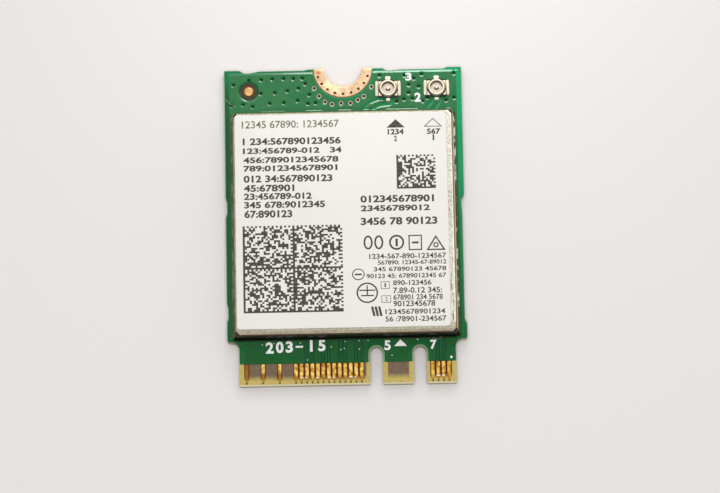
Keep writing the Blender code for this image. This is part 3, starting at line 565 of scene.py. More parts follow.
def note_copper(sheet, with_traces):
    """Keeps the copper and via shares as attributes for the material."""
    points = np.zeros(len(sheet.data.vertices) * 3)
    sheet.data.vertices.foreach_get("co", points)
    points = points.reshape(-1, 3) / MM
    _, copper, via = coat(points[:, 0], points[:, 1], with_traces)
    for name, values in (("copper", copper), ("via", via)):
        made = sheet.data.attributes.new(name, "FLOAT", "POINT")
        made.data.foreach_set("value", values.astype(np.float32))


top_coat = make_coat("solder_mask_top", np.arange(-11.02, 11.10, GRID_STEP), rows_of_coat(), True)
cut_to_board(top_coat)
note_copper(top_coat, True)
print("top coat faces:", len(top_coat.data.polygons))

# %% Underside coat
bottom_coat = make_coat("solder_mask_bottom", np.arange(-11.02, 11.10, UNDERSIDE_STEP),
                        np.arange(MASK_FRONT, 15.1, UNDERSIDE_STEP), False)
turn_over(bottom_coat)
cut_to_board(bottom_coat)
note_copper(bottom_coat, False)
print("bottom coat faces:", len(bottom_coat.data.polygons))

# %% [markdown]
# Solder mask is a printed and cured epoxy lacquer: glossy, and clear enough for the copper to show.
# The attributes say where copper and vias lie. A fine noise stands for the slight orange peel
# of the cured film, about 0.3 mm from hump to hump, and a coarser one for its uneven thickness.
# Slopes that face the back edge are given the most shine and the bottoms of dimples hardly any,
# which keeps the bright lines on the same side of each track and via as in the photograph.

# %% Solder-mask material
mask, tree, shader = new_material("cured_green_solder_mask", roughness=0.15, ior=1.55)
place = node(tree, "TexCoord").outputs["Object"]
at_x, at_y, _ = node(tree, "SeparateXYZ", {0: place}).outputs
film = node(tree, "TexNoise", {"Vector": place, "Scale": 700.0, "Detail": 5.0, "Roughness": 0.6})
peel = node(tree, "TexNoise", {"Vector": place, "Scale": 3300.0, "Detail": 2.0})
# Over copper the coat is painted darker in the front strip than behind the can: painted shade of the can over
# the front strip.
front_copper_painted_shade = node(tree, "Mix", {0: film, 6: linear("#00501a"), 7: linear("#026224")}, data_type="RGBA")
rear_copper = node(tree, "Mix", {0: film, 6: linear("#1f6636"), 7: linear("#3c8250")}, data_type="RGBA")
behind_can = node(tree, "MapRange", {"Value": at_y, "From Min": -8.0 * MM, "From Max": 10.8 * MM})
over_copper = node(tree, "Mix", {0: behind_can, 6: front_copper_painted_shade, 7: rear_copper}, data_type="RGBA")
# Over bare laminate the coat is painted dull towards the left and front and vivid towards the right and rear:
# painted light that falls off away from the lamp behind the card's right side.
rim_painted_shade = node(tree, "Mix", {0: film, 6: linear("#004c24"), 7: linear("#006a36")}, data_type="RGBA")
vivid_rim = node(tree, "Mix", {0: film, 6: linear("#008650"), 7: linear("#0ab274")}, data_type="RGBA")
to_right = node(tree, "MapRange", {"Value": at_x, "From Min": -9.5 * MM, "From Max": 9.8 * MM})
to_rear = node(tree, "MapRange", {"Value": at_y, "From Min": 12.5 * MM, "From Max": 14.6 * MM, "To Max": 0.3})
rim_painted_light_share = node(tree, "Math", {0: to_right, 1: to_rear}, operation="MAXIMUM")
from_front = node(tree, "MapRange", {"Value": at_y, "From Min": -10.5 * MM, "From Max": 9.0 * MM})
rim_painted_light_share = node(tree, "Math", {0: rim_painted_light_share, 1: from_front}, operation="MULTIPLY")
over_laminate = node(tree, "Mix", {0: rim_painted_light_share, 6: rim_painted_shade, 7: vivid_rim}, data_type="RGBA")
copper = node(tree, "Attribute", attribute_name="copper").outputs["Fac"]
via = node(tree, "Attribute", attribute_name="via").outputs["Fac"]
colour = node(tree, "Mix", {0: copper, 6: over_laminate, 7: over_copper}, data_type="RGBA")
dark = node(tree, "MapRange", {"Value": via, "To Max": 0.92})
colour = node(tree, "Mix", {0: dark, 6: colour, 7: linear("#023a20")}, data_type="RGBA")
slant = node(tree, "SeparateXYZ", {0: node(tree, "NewGeometry").outputs["Normal"]})
wet = node(tree, "MapRange", {"Value": slant.outputs["Y"], "From Min": -0.10, "From Max": 0.20,
                              "To Min": 0.05, "To Max": 1.0})
shine = node(tree, "MapRange", {"Value": via, "From Min": 0.55, "From Max": 0.85,
                                "To Min": 1.0, "To Max": 0.15})
shine = node(tree, "Math", {0: wet, 1: shine}, operation="MULTIPLY")
bump = node(tree, "Bump", {"Height": peel, "Strength": 0.06, "Distance": GRAIN_DEPTH})
feed(shader, base_color=colour, specular_ior_level=shine, normal=bump)
finish(top_coat, mask, "green_solder_mask", "circuit_board", smooth=40.0)
finish(bottom_coat, mask, "green_solder_mask", "circuit_board", smooth=40.0)

# %% [markdown]
# ## The edge fingers
# Each finger is copper plated with nickel and hard gold. Its upper end is rounded by the mask's window,
# it narrows in its lower third to the stub that fed the plating current, and the cut stub is a dark dot.
# One finger is shaped from a block, copied to every pin, and turned over for the underside.

# %% Fingers
FIRST_PIN_X, HALF_PITCH = 9.25, 0.25
TOP_PINS = (1, 3, 5, 7, *range(33, 58, 2), 63, 69, 75)
BOTTOM_PINS = (2, 4, 6, *range(16, 23, 2), *range(32, 75, 2))


def pin_x(pin):
    """Place of a pin across the card, in mm; odd and even pins lie on opposite sides."""
    return FIRST_PIN_X - HALF_PITCH * (pin - 1)


def row_of_fingers(pins):
    """A copy of the finger at each pin's place."""
    row = [twin(finger, "finger_%02d" % pin) for pin in pins]
    for pin, made in zip(pins, row):
        made.location.x = pin_x(pin) * MM
        settle(made)
    return row


finger = block("finger", (-0.165, -14.78, CORE_TOP - 0.015), (0.165, -12.98, CORE_TOP + 0.045))
for cut in (-14.68, -14.58, -14.46, -14.32):
    pick(finger, "FACE", lambda ends: True)
    bpy.ops.mesh.bisect(plane_co=(0.0, cut * MM, 0.0), plane_no=(0.0, 1.0, 0.0))
for y, share in ((-14.78, 0.20), (-14.68, 0.26), (-14.58, 0.52), (-14.46, 0.86)):
    pick(finger, "VERT", lambda ends, y=y: abs(ends[0].y - y) < 0.01)
    bpy.ops.transform.resize(value=(share, 1.0, 1.0), center_override=(0.0, y * MM, 0.75 * MM))
ease(finger, lambda ends: all(p.y > -13.0 for p in ends) and abs(ends[0].z - ends[1].z) > 0.03, 0.10, 3)
ease(finger, lambda ends: all(p.z > CORE_TOP + 0.04 for p in ends) and any(abs(p.x) > 0.03 for p in ends)
     and not (abs(ends[0].y - ends[1].y) < 0.001 and ends[0].x * ends[1].x < 0 and ends[0].y < -13.0),
     0.022, 2)
upper = row_of_fingers(TOP_PINS)
turn_over(finger)
lower = row_of_fingers(BOTTOM_PINS)
bpy.data.objects.remove(finger)
fingers = join(upper + lower, "edge_fingers")

# %% [markdown]
# Hard gold over nickel is a warm yellow mirror when new. Plugging has worn the lower half to amber
# and brown and left a short pale scrape across some fingers, painted bright so that it also stands as a
# painted glint.
# The three that stand alone are brown all through their lower half, flux has darkened the whole of the one at
# the left end, and the thin necks at the tips have lost their gold.

# %% Gold-finger material
hard_gold, tree, shader = new_material("worn_hard_gold_plating", roughness=0.3, metallic=1.0)
place = node(tree, "TexCoord").outputs["Object"]
at_x, at_y, _ = node(tree, "SeparateXYZ", {0: place}).outputs
streaks = node(tree, "Mapping", {"Vector": place, "Scale": (9000.0, 1500.0, 3000.0)})
worn = node(tree, "TexNoise", {"Vector": streaks, "Scale": 1.0, "Detail": 4.0, "Roughness": 0.7})
patch = node(tree, "TexNoise", {"Vector": place, "Scale": 2400.0, "Detail": 3.0})
low = node(tree, "MapRange", {"Value": at_y, "From Min": -13.7 * MM, "From Max": -14.45 * MM})
left = node(tree, "MapRange", {"Value": at_x, "From Min": -9.0 * MM, "From Max": -9.05 * MM})
rubbed = node(tree, "Math", {0: low, 1: worn}, operation="MULTIPLY")
rubbed = node(tree, "MapRange", {"Value": rubbed, "From Min": 0.15, "From Max": 0.55})
rubbed = node(tree, "Math", {0: rubbed, 1: left}, operation="MAXIMUM")
lone = node(tree, "MapRange", {"Value": at_x, "From Min": -5.2 * MM, "From Max": -5.3 * MM})
lower_half = node(tree, "MapRange", {"Value": at_y, "From Min": -13.60 * MM, "From Max": -13.95 * MM})
lone_low = node(tree, "Math", {0: lower_half, 1: lone}, operation="MULTIPLY")
rubbed = node(tree, "Math", {0: rubbed, 1: lone_low}, operation="MAXIMUM")
patch = node(tree, "MapRange", {"Value": patch, "From Min": 0.40, "From Max": 0.60})
bright = node(tree, "Mix", {0: patch, 6: linear("#c28424"), 7: linear("#ffe27a")}, data_type="RGBA")
brown = node(tree, "Mix", {0: worn, 6: linear("#6e4214"), 7: linear("#bc8434")}, data_type="RGBA")
colour = node(tree, "Mix", {0: rubbed, 6: bright, 7: brown}, data_type="RGBA")
neck = node(tree, "MapRange", {"Value": at_y, "From Min": -14.42 * MM, "From Max": -14.52 * MM,
                               "To Max": 0.8})
colour = node(tree, "Mix", {0: neck, 6: colour, 7: linear("#a07c38")}, data_type="RGBA")
# The pale scrape across some fingers is partly wear and partly a painted glint.
long_spots = node(tree, "Mapping", {"Vector": place, "Scale": (1400.0, 300.0, 0.0)})
spots = node(tree, "TexNoise", {"Vector": long_spots, "Scale": 1.0, "Detail": 0.0})
scrape_and_painted_glint = node(tree, "MapRange", {"Value": spots, "From Min": 0.53, "From Max": 0.58})
line = node(tree, "Math", {0: at_y, 1: 14.30 * MM}, operation="ADD")
line = node(tree, "Math", {0: line}, operation="ABSOLUTE")
line = node(tree, "MapRange", {"Value": line, "From Min": 0.03 * MM, "From Max": 0.07 * MM,
                               "To Min": 1.0, "To Max": 0.0})
scrape_and_painted_glint = node(tree, "Math", {0: scrape_and_painted_glint, 1: line}, operation="MULTIPLY")
together = node(tree, "Math", {0: 1.0, 1: lone}, operation="SUBTRACT")
scrape_and_painted_glint = node(tree, "Math", {0: scrape_and_painted_glint, 1: together}, operation="MULTIPLY")
colour = node(tree, "Mix", {0: scrape_and_painted_glint, 6: colour, 7: linear("#fbeccb")}, data_type="RGBA")
rough = node(tree, "MapRange", {"Value": worn, "To Min": 0.22, "To Max": 0.48})
bump = node(tree, "Bump", {"Height": worn, "Strength": 0.2, "Distance": GRAIN_DEPTH})
feed(shader, base_color=colour, roughness=rough, normal=bump)
finish(fingers, hard_gold, "gold_plated_contact", "circuit_board")

# %% Cut plating stubs
stubs = [pressed_ball(pin_x(pin), -14.76, 0.765, 0.085, (1.0, 0.9, 0.45), 10, 6) for pin in TOP_PINS]
stubs = join(stubs, "cut_plating_stubs")
burnt = two_tone("tarnished_copper_stub", "#2a1a0c", "#6d4a22", 4000.0, roughness=0.5, metallic=0.6)
finish(stubs, burnt, "gold_plated_contact")

# %% [markdown]
# ## The screw land and the open vias
# The land is bare copper round the half-hole, scuffed by the screw's head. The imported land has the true
# form, so a copy of it only gets eased edges. Its nine vias are open barrels, dark inside,
# and nine more stand outside it in small tinned rings. A ring starts as a cylinder, whose top
# is inset and pushed down.

# %% Land and vias
land = copy_of_solid("mounting_land")
land.name = "screw_land"
use(land, "BEVEL", width=0.012 * MM, segments=2, limit_method="ANGLE", angle_limit=math.radians(50.0))

copper_skin, tree, shader = new_material("scuffed_bare_copper", roughness=0.44, metallic=1.0)
place = node(tree, "TexCoord").outputs["Object"]
cloud = node(tree, "TexNoise", {"Vector": place, "Scale": 1900.0, "Detail": 4.0, "Roughness": 0.65})
scuff = node(tree, "TexNoise", {"Vector": place, "Scale": 6000.0, "Detail": 3.0, "Roughness": 0.7})
centre = node(tree, "VectorMath", {0: place, 1: (0.0, BACK_EDGE * MM, 0.78 * MM)}, operation="DISTANCE")
rim_out = node(tree, "MapRange", {"Value": centre, "From Min": 2.64 * MM, "From Max": 2.75 * MM})
stain = node(tree, "VectorMath", {0: place, 1: (-2.26 * MM, 14.62 * MM, 0.8 * MM)}, operation="DISTANCE")
stain = node(tree, "MapRange", {"Value": stain, "From Min": 0.05 * MM, "From Max": 0.32 * MM,
                                "To Min": 0.85, "To Max": 0.0})
clean = node(tree, "Mix", {0: cloud, 6: linear("#cca27a"), 7: linear("#f4dcb8")}, data_type="RGBA")
clean = node(tree, "Mix", {0: node(tree, "MapRange", {"Value": scuff, "From Min": 0.50, "From Max": 0.66,
                                                      "To Max": 0.6}),
                           6: clean, 7: linear("#c08048")}, data_type="RGBA")
colour = node(tree, "Mix", {0: rim_out, 6: clean, 7: linear("#8e5224")}, data_type="RGBA")
colour = node(tree, "Mix", {0: stain, 6: colour, 7: linear("#b8692a")}, data_type="RGBA")
bump = node(tree, "Bump", {"Height": scuff, "Strength": 0.25, "Distance": 0.008 * MM})
feed(shader, base_color=colour, normal=bump)
finish(land, copper_skin, "bare_copper", "mounting_land")


def barrel(x, y, outer, hole, low, high, depth):
    """A via's ring: a cylinder whose top is inset to the hole and pushed down."""
    made = disc(x, y, (high + low) / 2, outer, high - low, 20)
    pick(made, "FACE", lambda ends: all(p.z > high - 0.001 for p in ends))
    bpy.ops.mesh.inset(thickness=(outer - hole) * MM, depth=0.0)
    bpy.ops.mesh.extrude_region_move(TRANSFORM_OT_translate={"value": (0.0, 0.0, -depth * MM)})
    bpy.ops.mesh.select_all(action="SELECT")
    bpy.ops.mesh.normals_make_consistent(inside=False)
    bpy.ops.object.mode_set(mode="OBJECT")
    return made


def bore_plug(x, y, radius, high):
    """A dark disc in a via's bore, shallow and dished; its dark red is painted shade of the deep hole over
    the barrel's copper.
    """
    made = disc(x, y, high - 0.01, radius, 0.02, 16)
    pick(made, "FACE", lambda ends: all(p.z > high - 0.001 for p in ends))
    bpy.ops.mesh.inset(thickness=radius * 0.3 * MM, depth=-0.004 * MM)
    bpy.ops.object.mode_set(mode="OBJECT")
    return made


rings = join([barrel(x, y, 0.205, 0.140, 0.742, 0.790, 0.03) for x, y in OPEN_VIAS], "open_via_rings")
land_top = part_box("mounting_land")[1].z / MM
LAND_VIA_RADIUS = 2.43
land_vias = [(LAND_VIA_RADIUS * math.cos(math.radians(a)),
              BACK_EDGE + LAND_VIA_RADIUS * math.sin(math.radians(a)))
             for a in range(198, 343, 18)]
plugs = [bore_plug(x, y, 0.130, land_top + 0.007) for x, y in land_vias]
plugs += [bore_plug(x, y, 0.138, 0.775) for x, y in OPEN_VIAS]
plugs = join(plugs, "via_bores")

tinned = two_tone("tinned_via_copper", "#bda390", "#eeded2", 2500.0, 3.0, roughness=0.35, metallic=1.0)
finish(rings, tinned, "bare_copper")
# The bores are painted dark red: painted shade of the deep holes over the barrels' copper, darkest in the
# open vias outside the land.
bore, tree, shader = new_material("via_barrel_and_painted_shade", roughness=0.85)
place = node(tree, "TexCoord").outputs["Object"]
cloud = node(tree, "TexNoise", {"Vector": place, "Scale": 5000.0})
centre = node(tree, "VectorMath", {0: place, 1: (0.0, BACK_EDGE * MM, 0.78 * MM)}, operation="DISTANCE")
outer_via_darker_painted_shade = node(tree, "MapRange", {"Value": centre, "From Min": 2.6 * MM, "From Max": 2.8 * MM})
colour = node(tree, "Mix", {0: cloud, 6: linear("#3a0602"), 7: linear("#761606")}, data_type="RGBA")
colour = node(tree, "Mix", {0: outer_via_darker_painted_shade, 6: colour, 7: linear("#200604")}, data_type="RGBA")
feed(shader, base_color=colour)
finish(plugs, bore, "bare_copper")

# %% [markdown]
# In the front strip each via shows as a tiny pale dot. Each is a ball pressed
# almost flat, and only the top of it stands out of the coat.

# %% Pale via dots
dots = [pressed_ball(x, y, 0.792, 0.075, (1.0, 1.0, 0.12), 12, 6) for x, y in PALE_DOT_VIAS]
dots = join(dots, "pale_via_dots")
pale_dot_material = two_tone("pale_via_dot_finish", "#7fae8c", "#cfe4d2", 5000.0, roughness=0.4)
finish(dots, pale_dot_material, "green_solder_mask")

# %% [markdown]
# ## The alignment dot
# A placement machine finds the board by a round gold-plated dot in a clear window of the mask.
# It is a cylinder with an eased rim, and the brown ring round it is the window's tinted floor.

# %% Alignment dot
dot = disc(*FIDUCIAL, 0.7625, 0.41, 0.045, 40)
ease(dot, lambda ends: all(p.z > 0.784 for p in ends), 0.03, 3)
dot.name = "alignment_dot"
window = disc(*FIDUCIAL, 0.746, 0.845, 0.012, 40)
pick(window, "FACE", lambda ends: all(p.z > 0.751 for p in ends))
bpy.ops.mesh.inset(thickness=0.04 * MM, depth=-0.002 * MM)
bpy.ops.object.mode_set(mode="OBJECT")
window.name = "alignment_window"
flashed = two_tone("thin_gold_flash_on_copper", "#c99a58", "#ecc58c", 2600.0, 3.0, roughness=0.38,
                   metallic=1.0)
finish(dot, flashed, "gold_plated_contact")
tint, tree, shader = new_material("bare_laminate_in_window", roughness=0.55, ior=1.25)
place = node(tree, "TexCoord").outputs["Object"]
away = node(tree, "VectorMath", {0: place, 1: (FIDUCIAL[0] * MM, FIDUCIAL[1] * MM, 0.75 * MM)},
            operation="DISTANCE")
near = node(tree, "MapRange", {"Value": away, "From Min": 0.50 * MM, "From Max": 0.62 * MM})
cloud = node(tree, "TexNoise", {"Vector": place, "Scale": 3000.0})
outer = node(tree, "Mix", {0: cloud, 6: linear("#26362a"), 7: linear("#424e3a")}, data_type="RGBA")
colour = node(tree, "Mix", {0: near, 6: linear("#6e3610"), 7: outer}, data_type="RGBA")
feed(shader, base_color=colour)
finish(window, tint, "green_solder_mask")

# %% [markdown]
# ## The shield can
# The can is pressed from nickel silver 0.15 mm thick. A block is given its bends with bevel, opened
# below, and given its wall with Solidify. A slanted slot in each corner let the sheet fold, and is cut
# with a Boolean. The slot's dark depth is painted shade: a small dished black block fills each slot
# lower down.

# %% Can
can = block("shield_can_shell", can_low, can_high)
ease(can, lambda ends: abs(ends[0].z - ends[1].z) > 1.0, CAN_CORNER, 6)
ease(can, lambda ends: all(p.z > can_high.z - 0.001 for p in ends), CAN_BEND, 6)
pick(can, "FACE", lambda ends: all(p.z < can_low.z + 0.001 for p in ends))
bpy.ops.mesh.delete(type="FACE")
bpy.ops.object.mode_set(mode="OBJECT")
use(can, "SOLIDIFY", thickness=CAN_SHEET * MM, offset=-1.0, use_even_offset=True)
cutters, slot_painted_shade = [], []
for side_x, wall_x in ((-1, can_low.x), (1, can_high.x)):
    for side_y, wall_y in ((-1, can_low.y), (1, can_high.y)):
        x, y = wall_x - side_x * 0.25, wall_y - side_y * 0.25
        cutter = block("slot", (-0.21, -0.082, can_high.z - 0.43), (0.21, 0.082, can_high.z + 0.05))
        slot_shade_block = block("slot_shade_block", (-0.20, -0.074, can_high.z - 0.40), (0.20, 0.074, can_high.z - 0.075))
        pick(slot_shade_block, "FACE", lambda ends: all(p.z > can_high.z - 0.08 for p in ends))
        bpy.ops.mesh.inset(thickness=0.03 * MM, depth=-0.02 * MM)
        bpy.ops.object.mode_set(mode="OBJECT")
        for made in (cutter, slot_shade_block):
            made.rotation_euler.z = math.radians(45.0 if side_x * side_y < 0 else -45.0)
            made.location = (x * MM, y * MM, 0.0)
            settle(made)
        cutters.append(cutter)
        slot_painted_shade.append(slot_shade_block)
cutter = join(cutters, "slots")
use(can, "BOOLEAN", operation="DIFFERENCE", solver="EXACT", object=cutter)
bpy.data.objects.remove(cutter)
slot_painted_shade = join(slot_painted_shade, "slot_painted_shade")

# %% [markdown]
# Nickel silver is a copper alloy with a dull yellowish-grey colour. This sheet has a fine speckle from its
# rolled and barrel-cleaned surface, and grains of about 0.08 mm. The bends and walls are painted darker
# brown-grey, as painted shade and painted reflection of the darker room: darker on the left and in front, the
# front wall almost black low down, the rear bend lighter, and a pale painted highlight along the right bend
# and where it starts.
# The top is painted darker towards its front edge, as painted shade. The strip right of the label is given
# an almost white tone, with brown stains of flux along it.

# %% Nickel-silver material
STAINS = (
    (9.62, 1.00, 0.05, 0.24), (9.61, -5.35, 0.035, 0.55), (9.60, -6.30, 0.06, 0.50),
    (9.70, -6.98, 0.13, 0.035), (9.78, -7.80, 0.045, 0.45), (9.72, -9.15, 0.085, 0.42),
    (9.75, -3.9, 0.03, 0.5))
nickel, tree, shader = new_material("speckled_nickel_silver_sheet", roughness=0.42, metallic=1.0)
place = node(tree, "TexCoord").outputs["Object"]
at_x, at_y, at_z = node(tree, "SeparateXYZ", {0: place}).outputs
speck = node(tree, "TexNoise", {"Vector": place, "Scale": 6500.0, "Detail": 2.0, "Roughness": 0.7})
cloud = node(tree, "TexNoise", {"Vector": place, "Scale": 1100.0, "Detail": 4.0, "Roughness": 0.6})
sharp = node(tree, "MapRange", {"Value": speck, "From Min": 0.36, "From Max": 0.64})
plain = node(tree, "Mix", {0: sharp, 6: linear("#98937a"), 7: linear("#d4d1c0")}, data_type="RGBA")
uneven = node(tree, "MapRange", {"Value": cloud, "From Min": 0.35, "From Max": 0.75, "To Max": 0.6})
plain = node(tree, "Mix", {0: uneven, 6: plain, 7: linear("#938a70")}, data_type="RGBA")
bend_top = can_high.z - 0.05
ragged_z = node(tree, "Math", {0: cloud, 1: -0.10 * MM, 2: at_z}, operation="MULTIPLY_ADD")
bent = node(tree, "MapRange", {"Value": ragged_z, "From Min": (bend_top - 0.02) * MM,
                               "From Max": (bend_top - 0.13) * MM})
front = node(tree, "MapRange", {"Value": at_y, "From Min": (can_low.y + 0.45) * MM,
                                "From Max": (can_low.y + 0.25) * MM})
right_side = node(tree, "MapRange", {"Value": at_x, "From Min": 9.40 * MM, "From Max": 9.55 * MM})
lower = node(tree, "MapRange", {"Value": at_y, "From Min": -9.75 * MM, "From Max": -9.45 * MM})
right_side = node(tree, "Math", {0: right_side, 1: lower}, operation="MULTIPLY")
near_white_strip = node(tree, "Mix", {0: sharp, 6: linear("#bebba8"), 7: linear("#eeebdf")}, data_type="RGBA")
plain = node(tree, "Mix", {0: right_side, 6: plain, 7: near_white_strip}, data_type="RGBA")
# Painted highlight: a near-white line where the right bend starts, behind the strip.
right_bend_painted_gleam = node(tree, "MapRange", {"Value": at_x, "From Min": (can_high.x - 0.31) * MM,
                                "From Max": (can_high.x - 0.27) * MM})
right_bend_painted_gleam = node(tree, "Math", {0: right_bend_painted_gleam, 1: lower}, operation="MULTIPLY")
plain = node(tree, "Mix", {0: right_bend_painted_gleam, 6: plain, 7: linear("#f8f5ea")}, data_type="RGBA")
warped = node(tree, "VectorMath", {0: place, 1: node(tree, "VectorMath", {0: cloud.outputs[1],
              1: (0.10 * MM, 0.16 * MM, 0.0)}, operation="MULTIPLY")}, operation="ADD")
for x, y, across, along in STAINS:
    near = node(tree, "Mapping", {"Vector": warped, "Scale": (1 / across / MM, 1 / along / MM, 0.0),
                                  "Location": (-x / across - 0.05 / across, -y / along - 0.08 / along, 0.0)})
    near = node(tree, "VectorMath", {0: near}, operation="LENGTH")
    near = node(tree, "MapRange", {"Value": near, "From Min": 0.55, "From Max": 1.25,
                                   "To Min": 0.85, "To Max": 0.0})
    plain = node(tree, "Mix", {0: near, 6: plain, 7: linear("#7a6246")}, data_type="RGBA")
# Painted shade: the top darkens towards its front edge.
front_edge_painted_shade = node(tree, "Math", {0: cloud, 1: 0.55 * MM, 2: at_y}, operation="MULTIPLY_ADD")
front_edge_painted_shade = node(tree, "MapRange", {"Value": front_edge_painted_shade, "From Min": (can_low.y + 0.78) * MM,
                                     "From Max": (can_low.y + 0.42) * MM, "To Max": 0.85})
plain = node(tree, "Mix", {0: front_edge_painted_shade, 6: plain, 7: linear("#6a5c4a")}, data_type="RGBA")
# Painted shade and painted reflection on the bends and walls: darker on the left, lighter at the rear, a pale
# painted highlight along the right bend, and the front wall painted almost black low down.
to_left = node(tree, "MapRange", {"Value": at_x, "From Min": -9.9 * MM, "From Max": -9.6 * MM})
side_bend_painted_tones = node(tree, "Mix", {0: to_left, 6: linear("#584c3c"), 7: linear("#806240")}, data_type="RGBA")
right_bend_painted_highlight = node(tree, "MapRange", {"Value": at_x, "From Min": (can_high.x - 0.115) * MM,
                                     "From Max": (can_high.x - 0.085) * MM})
side_bend_painted_tones = node(tree, "Mix", {0: right_bend_painted_highlight, 6: side_bend_painted_tones, 7: linear("#cfc2a6")}, data_type="RGBA")
high_up = node(tree, "MapRange", {"Value": ragged_z, "From Min": (bend_top - 0.26) * MM,
                                  "From Max": (bend_top - 0.17) * MM})
front_wall_painted_shade = node(tree, "Mix", {0: high_up, 6: linear("#1c1912"), 7: linear("#5e503e")}, data_type="RGBA")
rear = node(tree, "MapRange", {"Value": at_y, "From Min": 9.9 * MM, "From Max": 10.3 * MM})
side_bend_painted_tones = node(tree, "Mix", {0: rear, 6: side_bend_painted_tones, 7: linear("#9a8c68")}, data_type="RGBA")
bend_painted_shade = node(tree, "Mix", {0: front, 6: side_bend_painted_tones, 7: front_wall_painted_shade}, data_type="RGBA")
right_bend = node(tree, "Math", {0: cloud, 1: 0.08 * MM, 2: at_x}, operation="MULTIPLY_ADD")
right_bend = node(tree, "MapRange", {"Value": right_bend, "From Min": (can_high.x - 0.22 + 0.04) * MM,
                                     "From Max": (can_high.x - 0.17 + 0.04) * MM})
bent = node(tree, "Math", {0: bent, 1: right_bend}, operation="MAXIMUM")
colour = node(tree, "Mix", {0: bent, 6: plain, 7: bend_painted_shade}, data_type="RGBA")
rough = node(tree, "MapRange", {"Value": sharp, "To Min": 0.36, "To Max": 0.52})
bump = node(tree, "Bump", {"Height": speck, "Strength": 0.35, "Distance": GRAIN_DEPTH})
feed(shader, base_color=colour, roughness=rough, normal=bump)
finish(can, nickel, "nickel_silver_sheet", "shield_can")
# The block in each slot is painted black: painted shade in the slot's depth.
slot_shade_material = two_tone("black_painted_slot_shade", "#050403", "#1a140d", 5000.0, roughness=0.8)
finish(slot_painted_shade, slot_shade_material, "nickel_silver_sheet")

# %% [markdown]
# ## The can's solder
# The can's foot stands in a line of solder on a tinned track. The line is a curve round the foot whose
# thickness varies from point to point, as melted solder does, turned into a mesh and pressed flat.

# %% Solder line
def foot_points(margin, spacing):
    """Points round the can's foot, a little outside it, in mm."""
    low_x, high_x = can_low.x - margin, can_high.x + margin
    low_y, high_y = can_low.y - margin, can_high.y + margin
    radius = CAN_CORNER + margin
    corners = [((high_x - radius, low_y + radius), -90), ((high_x - radius, high_y - radius), 0),
               ((low_x + radius, high_y - radius), 90), ((low_x + radius, low_y + radius), 180)]
    points = []
    for (cx, cy), start in corners:
        for i in range(7):
            angle = math.radians(start + 15 * i)
            point = Vector((cx + radius * math.cos(angle), cy + radius * math.sin(angle)))
            if points and (point - points[-1]).length > spacing:
                steps = int((point - points[-1]).length / spacing)
                last = points[-1].copy()
                points += [last.lerp(point, k / steps) for k in range(1, steps)]
            points.append(point)
    steps = int((points[0] - points[-1]).length / spacing)
    last = points[-1].copy()
    points += [last.lerp(points[0], k / steps) for k in range(1, steps)]
    return points


def bead(name, points, radius, level, squash, wander, closed=True):
    """A bead of solder; its radius wanders by a share, with a fixed seed."""
    dice = random.Random(11)
    shape = bpy.data.curves.new(name, "CURVE")
    shape.dimensions = "3D"
    shape.bevel_depth = radius * MM
    shape.bevel_resolution = 3
    shape.use_fill_caps = True
    line = shape.splines.new("POLY")
    line.points.add(len(points) - 1)
    line.use_cyclic_u = closed
    swell = 1.0
    for i, (point, corner) in enumerate(zip(points, line.points)):
        swell += (1.0 + wander * dice.uniform(-1.0, 1.0) - swell) * 0.45
        corner.co = (point[0] * MM, point[1] * MM, 0.0, 1.0)
        corner.radius = swell
    made = bpy.data.objects.new(name, shape)
    bpy.context.scene.collection.objects.link(made)
    alone(made)
    bpy.ops.object.convert(target="MESH")
    made = bpy.context.object
    made.scale.z = squash
    made.location.z = level * MM
    settle(made)
    return made


round_points = [point for point in foot_points(0.015, 0.16) if point.y > can_low.y + 0.30]
solder_line = bead("can_solder_line", round_points, 0.095, 0.845, 0.85, 0.55, False)
track = bead("tinned_track", foot_points(0.03, 0.4), 0.145, 0.792, 0.22, 0.10)


def drop(x, y, z, width, length, height, turn=0.0):
    """A frozen drop of solder: a ball pressed flat, with its sides pulled in by proportional scaling."""
    made = pressed_ball(x, y, z, 0.5, (width, length, height * 2.0), 20, 12, turn)
    pick(made, "VERT", lambda ends: ends[0].z > z + height * 0.45)
    bpy.ops.transform.resize(value=(0.75, 0.75, 1.0), center_override=(x * MM, y * MM, z * MM))
    bpy.ops.object.mode_set(mode="OBJECT")
    return made


drops = [drop(can_high.x + 0.02, can_high.y - 0.02, 0.83, 0.42, 0.30, 0.22, -40.0),
         drop(can_high.x + 0.10, can_low.y + 0.20, 0.83, 0.26, 0.46, 0.26, 12.0),
         drop(can_high.x + 0.02, can_low.y + 0.90, 0.83, 0.22, 0.60, 0.14),
         drop(can_low.x + 0.02, can_low.y + 0.03, 0.83, 0.34, 0.26, 0.18, 40.0),
         drop(can_low.x + 0.05, can_high.y + 0.02, 0.83, 0.34, 0.22, 0.14, -30.0)]
solder_line = join([solder_line, track] + drops, "can_solder")

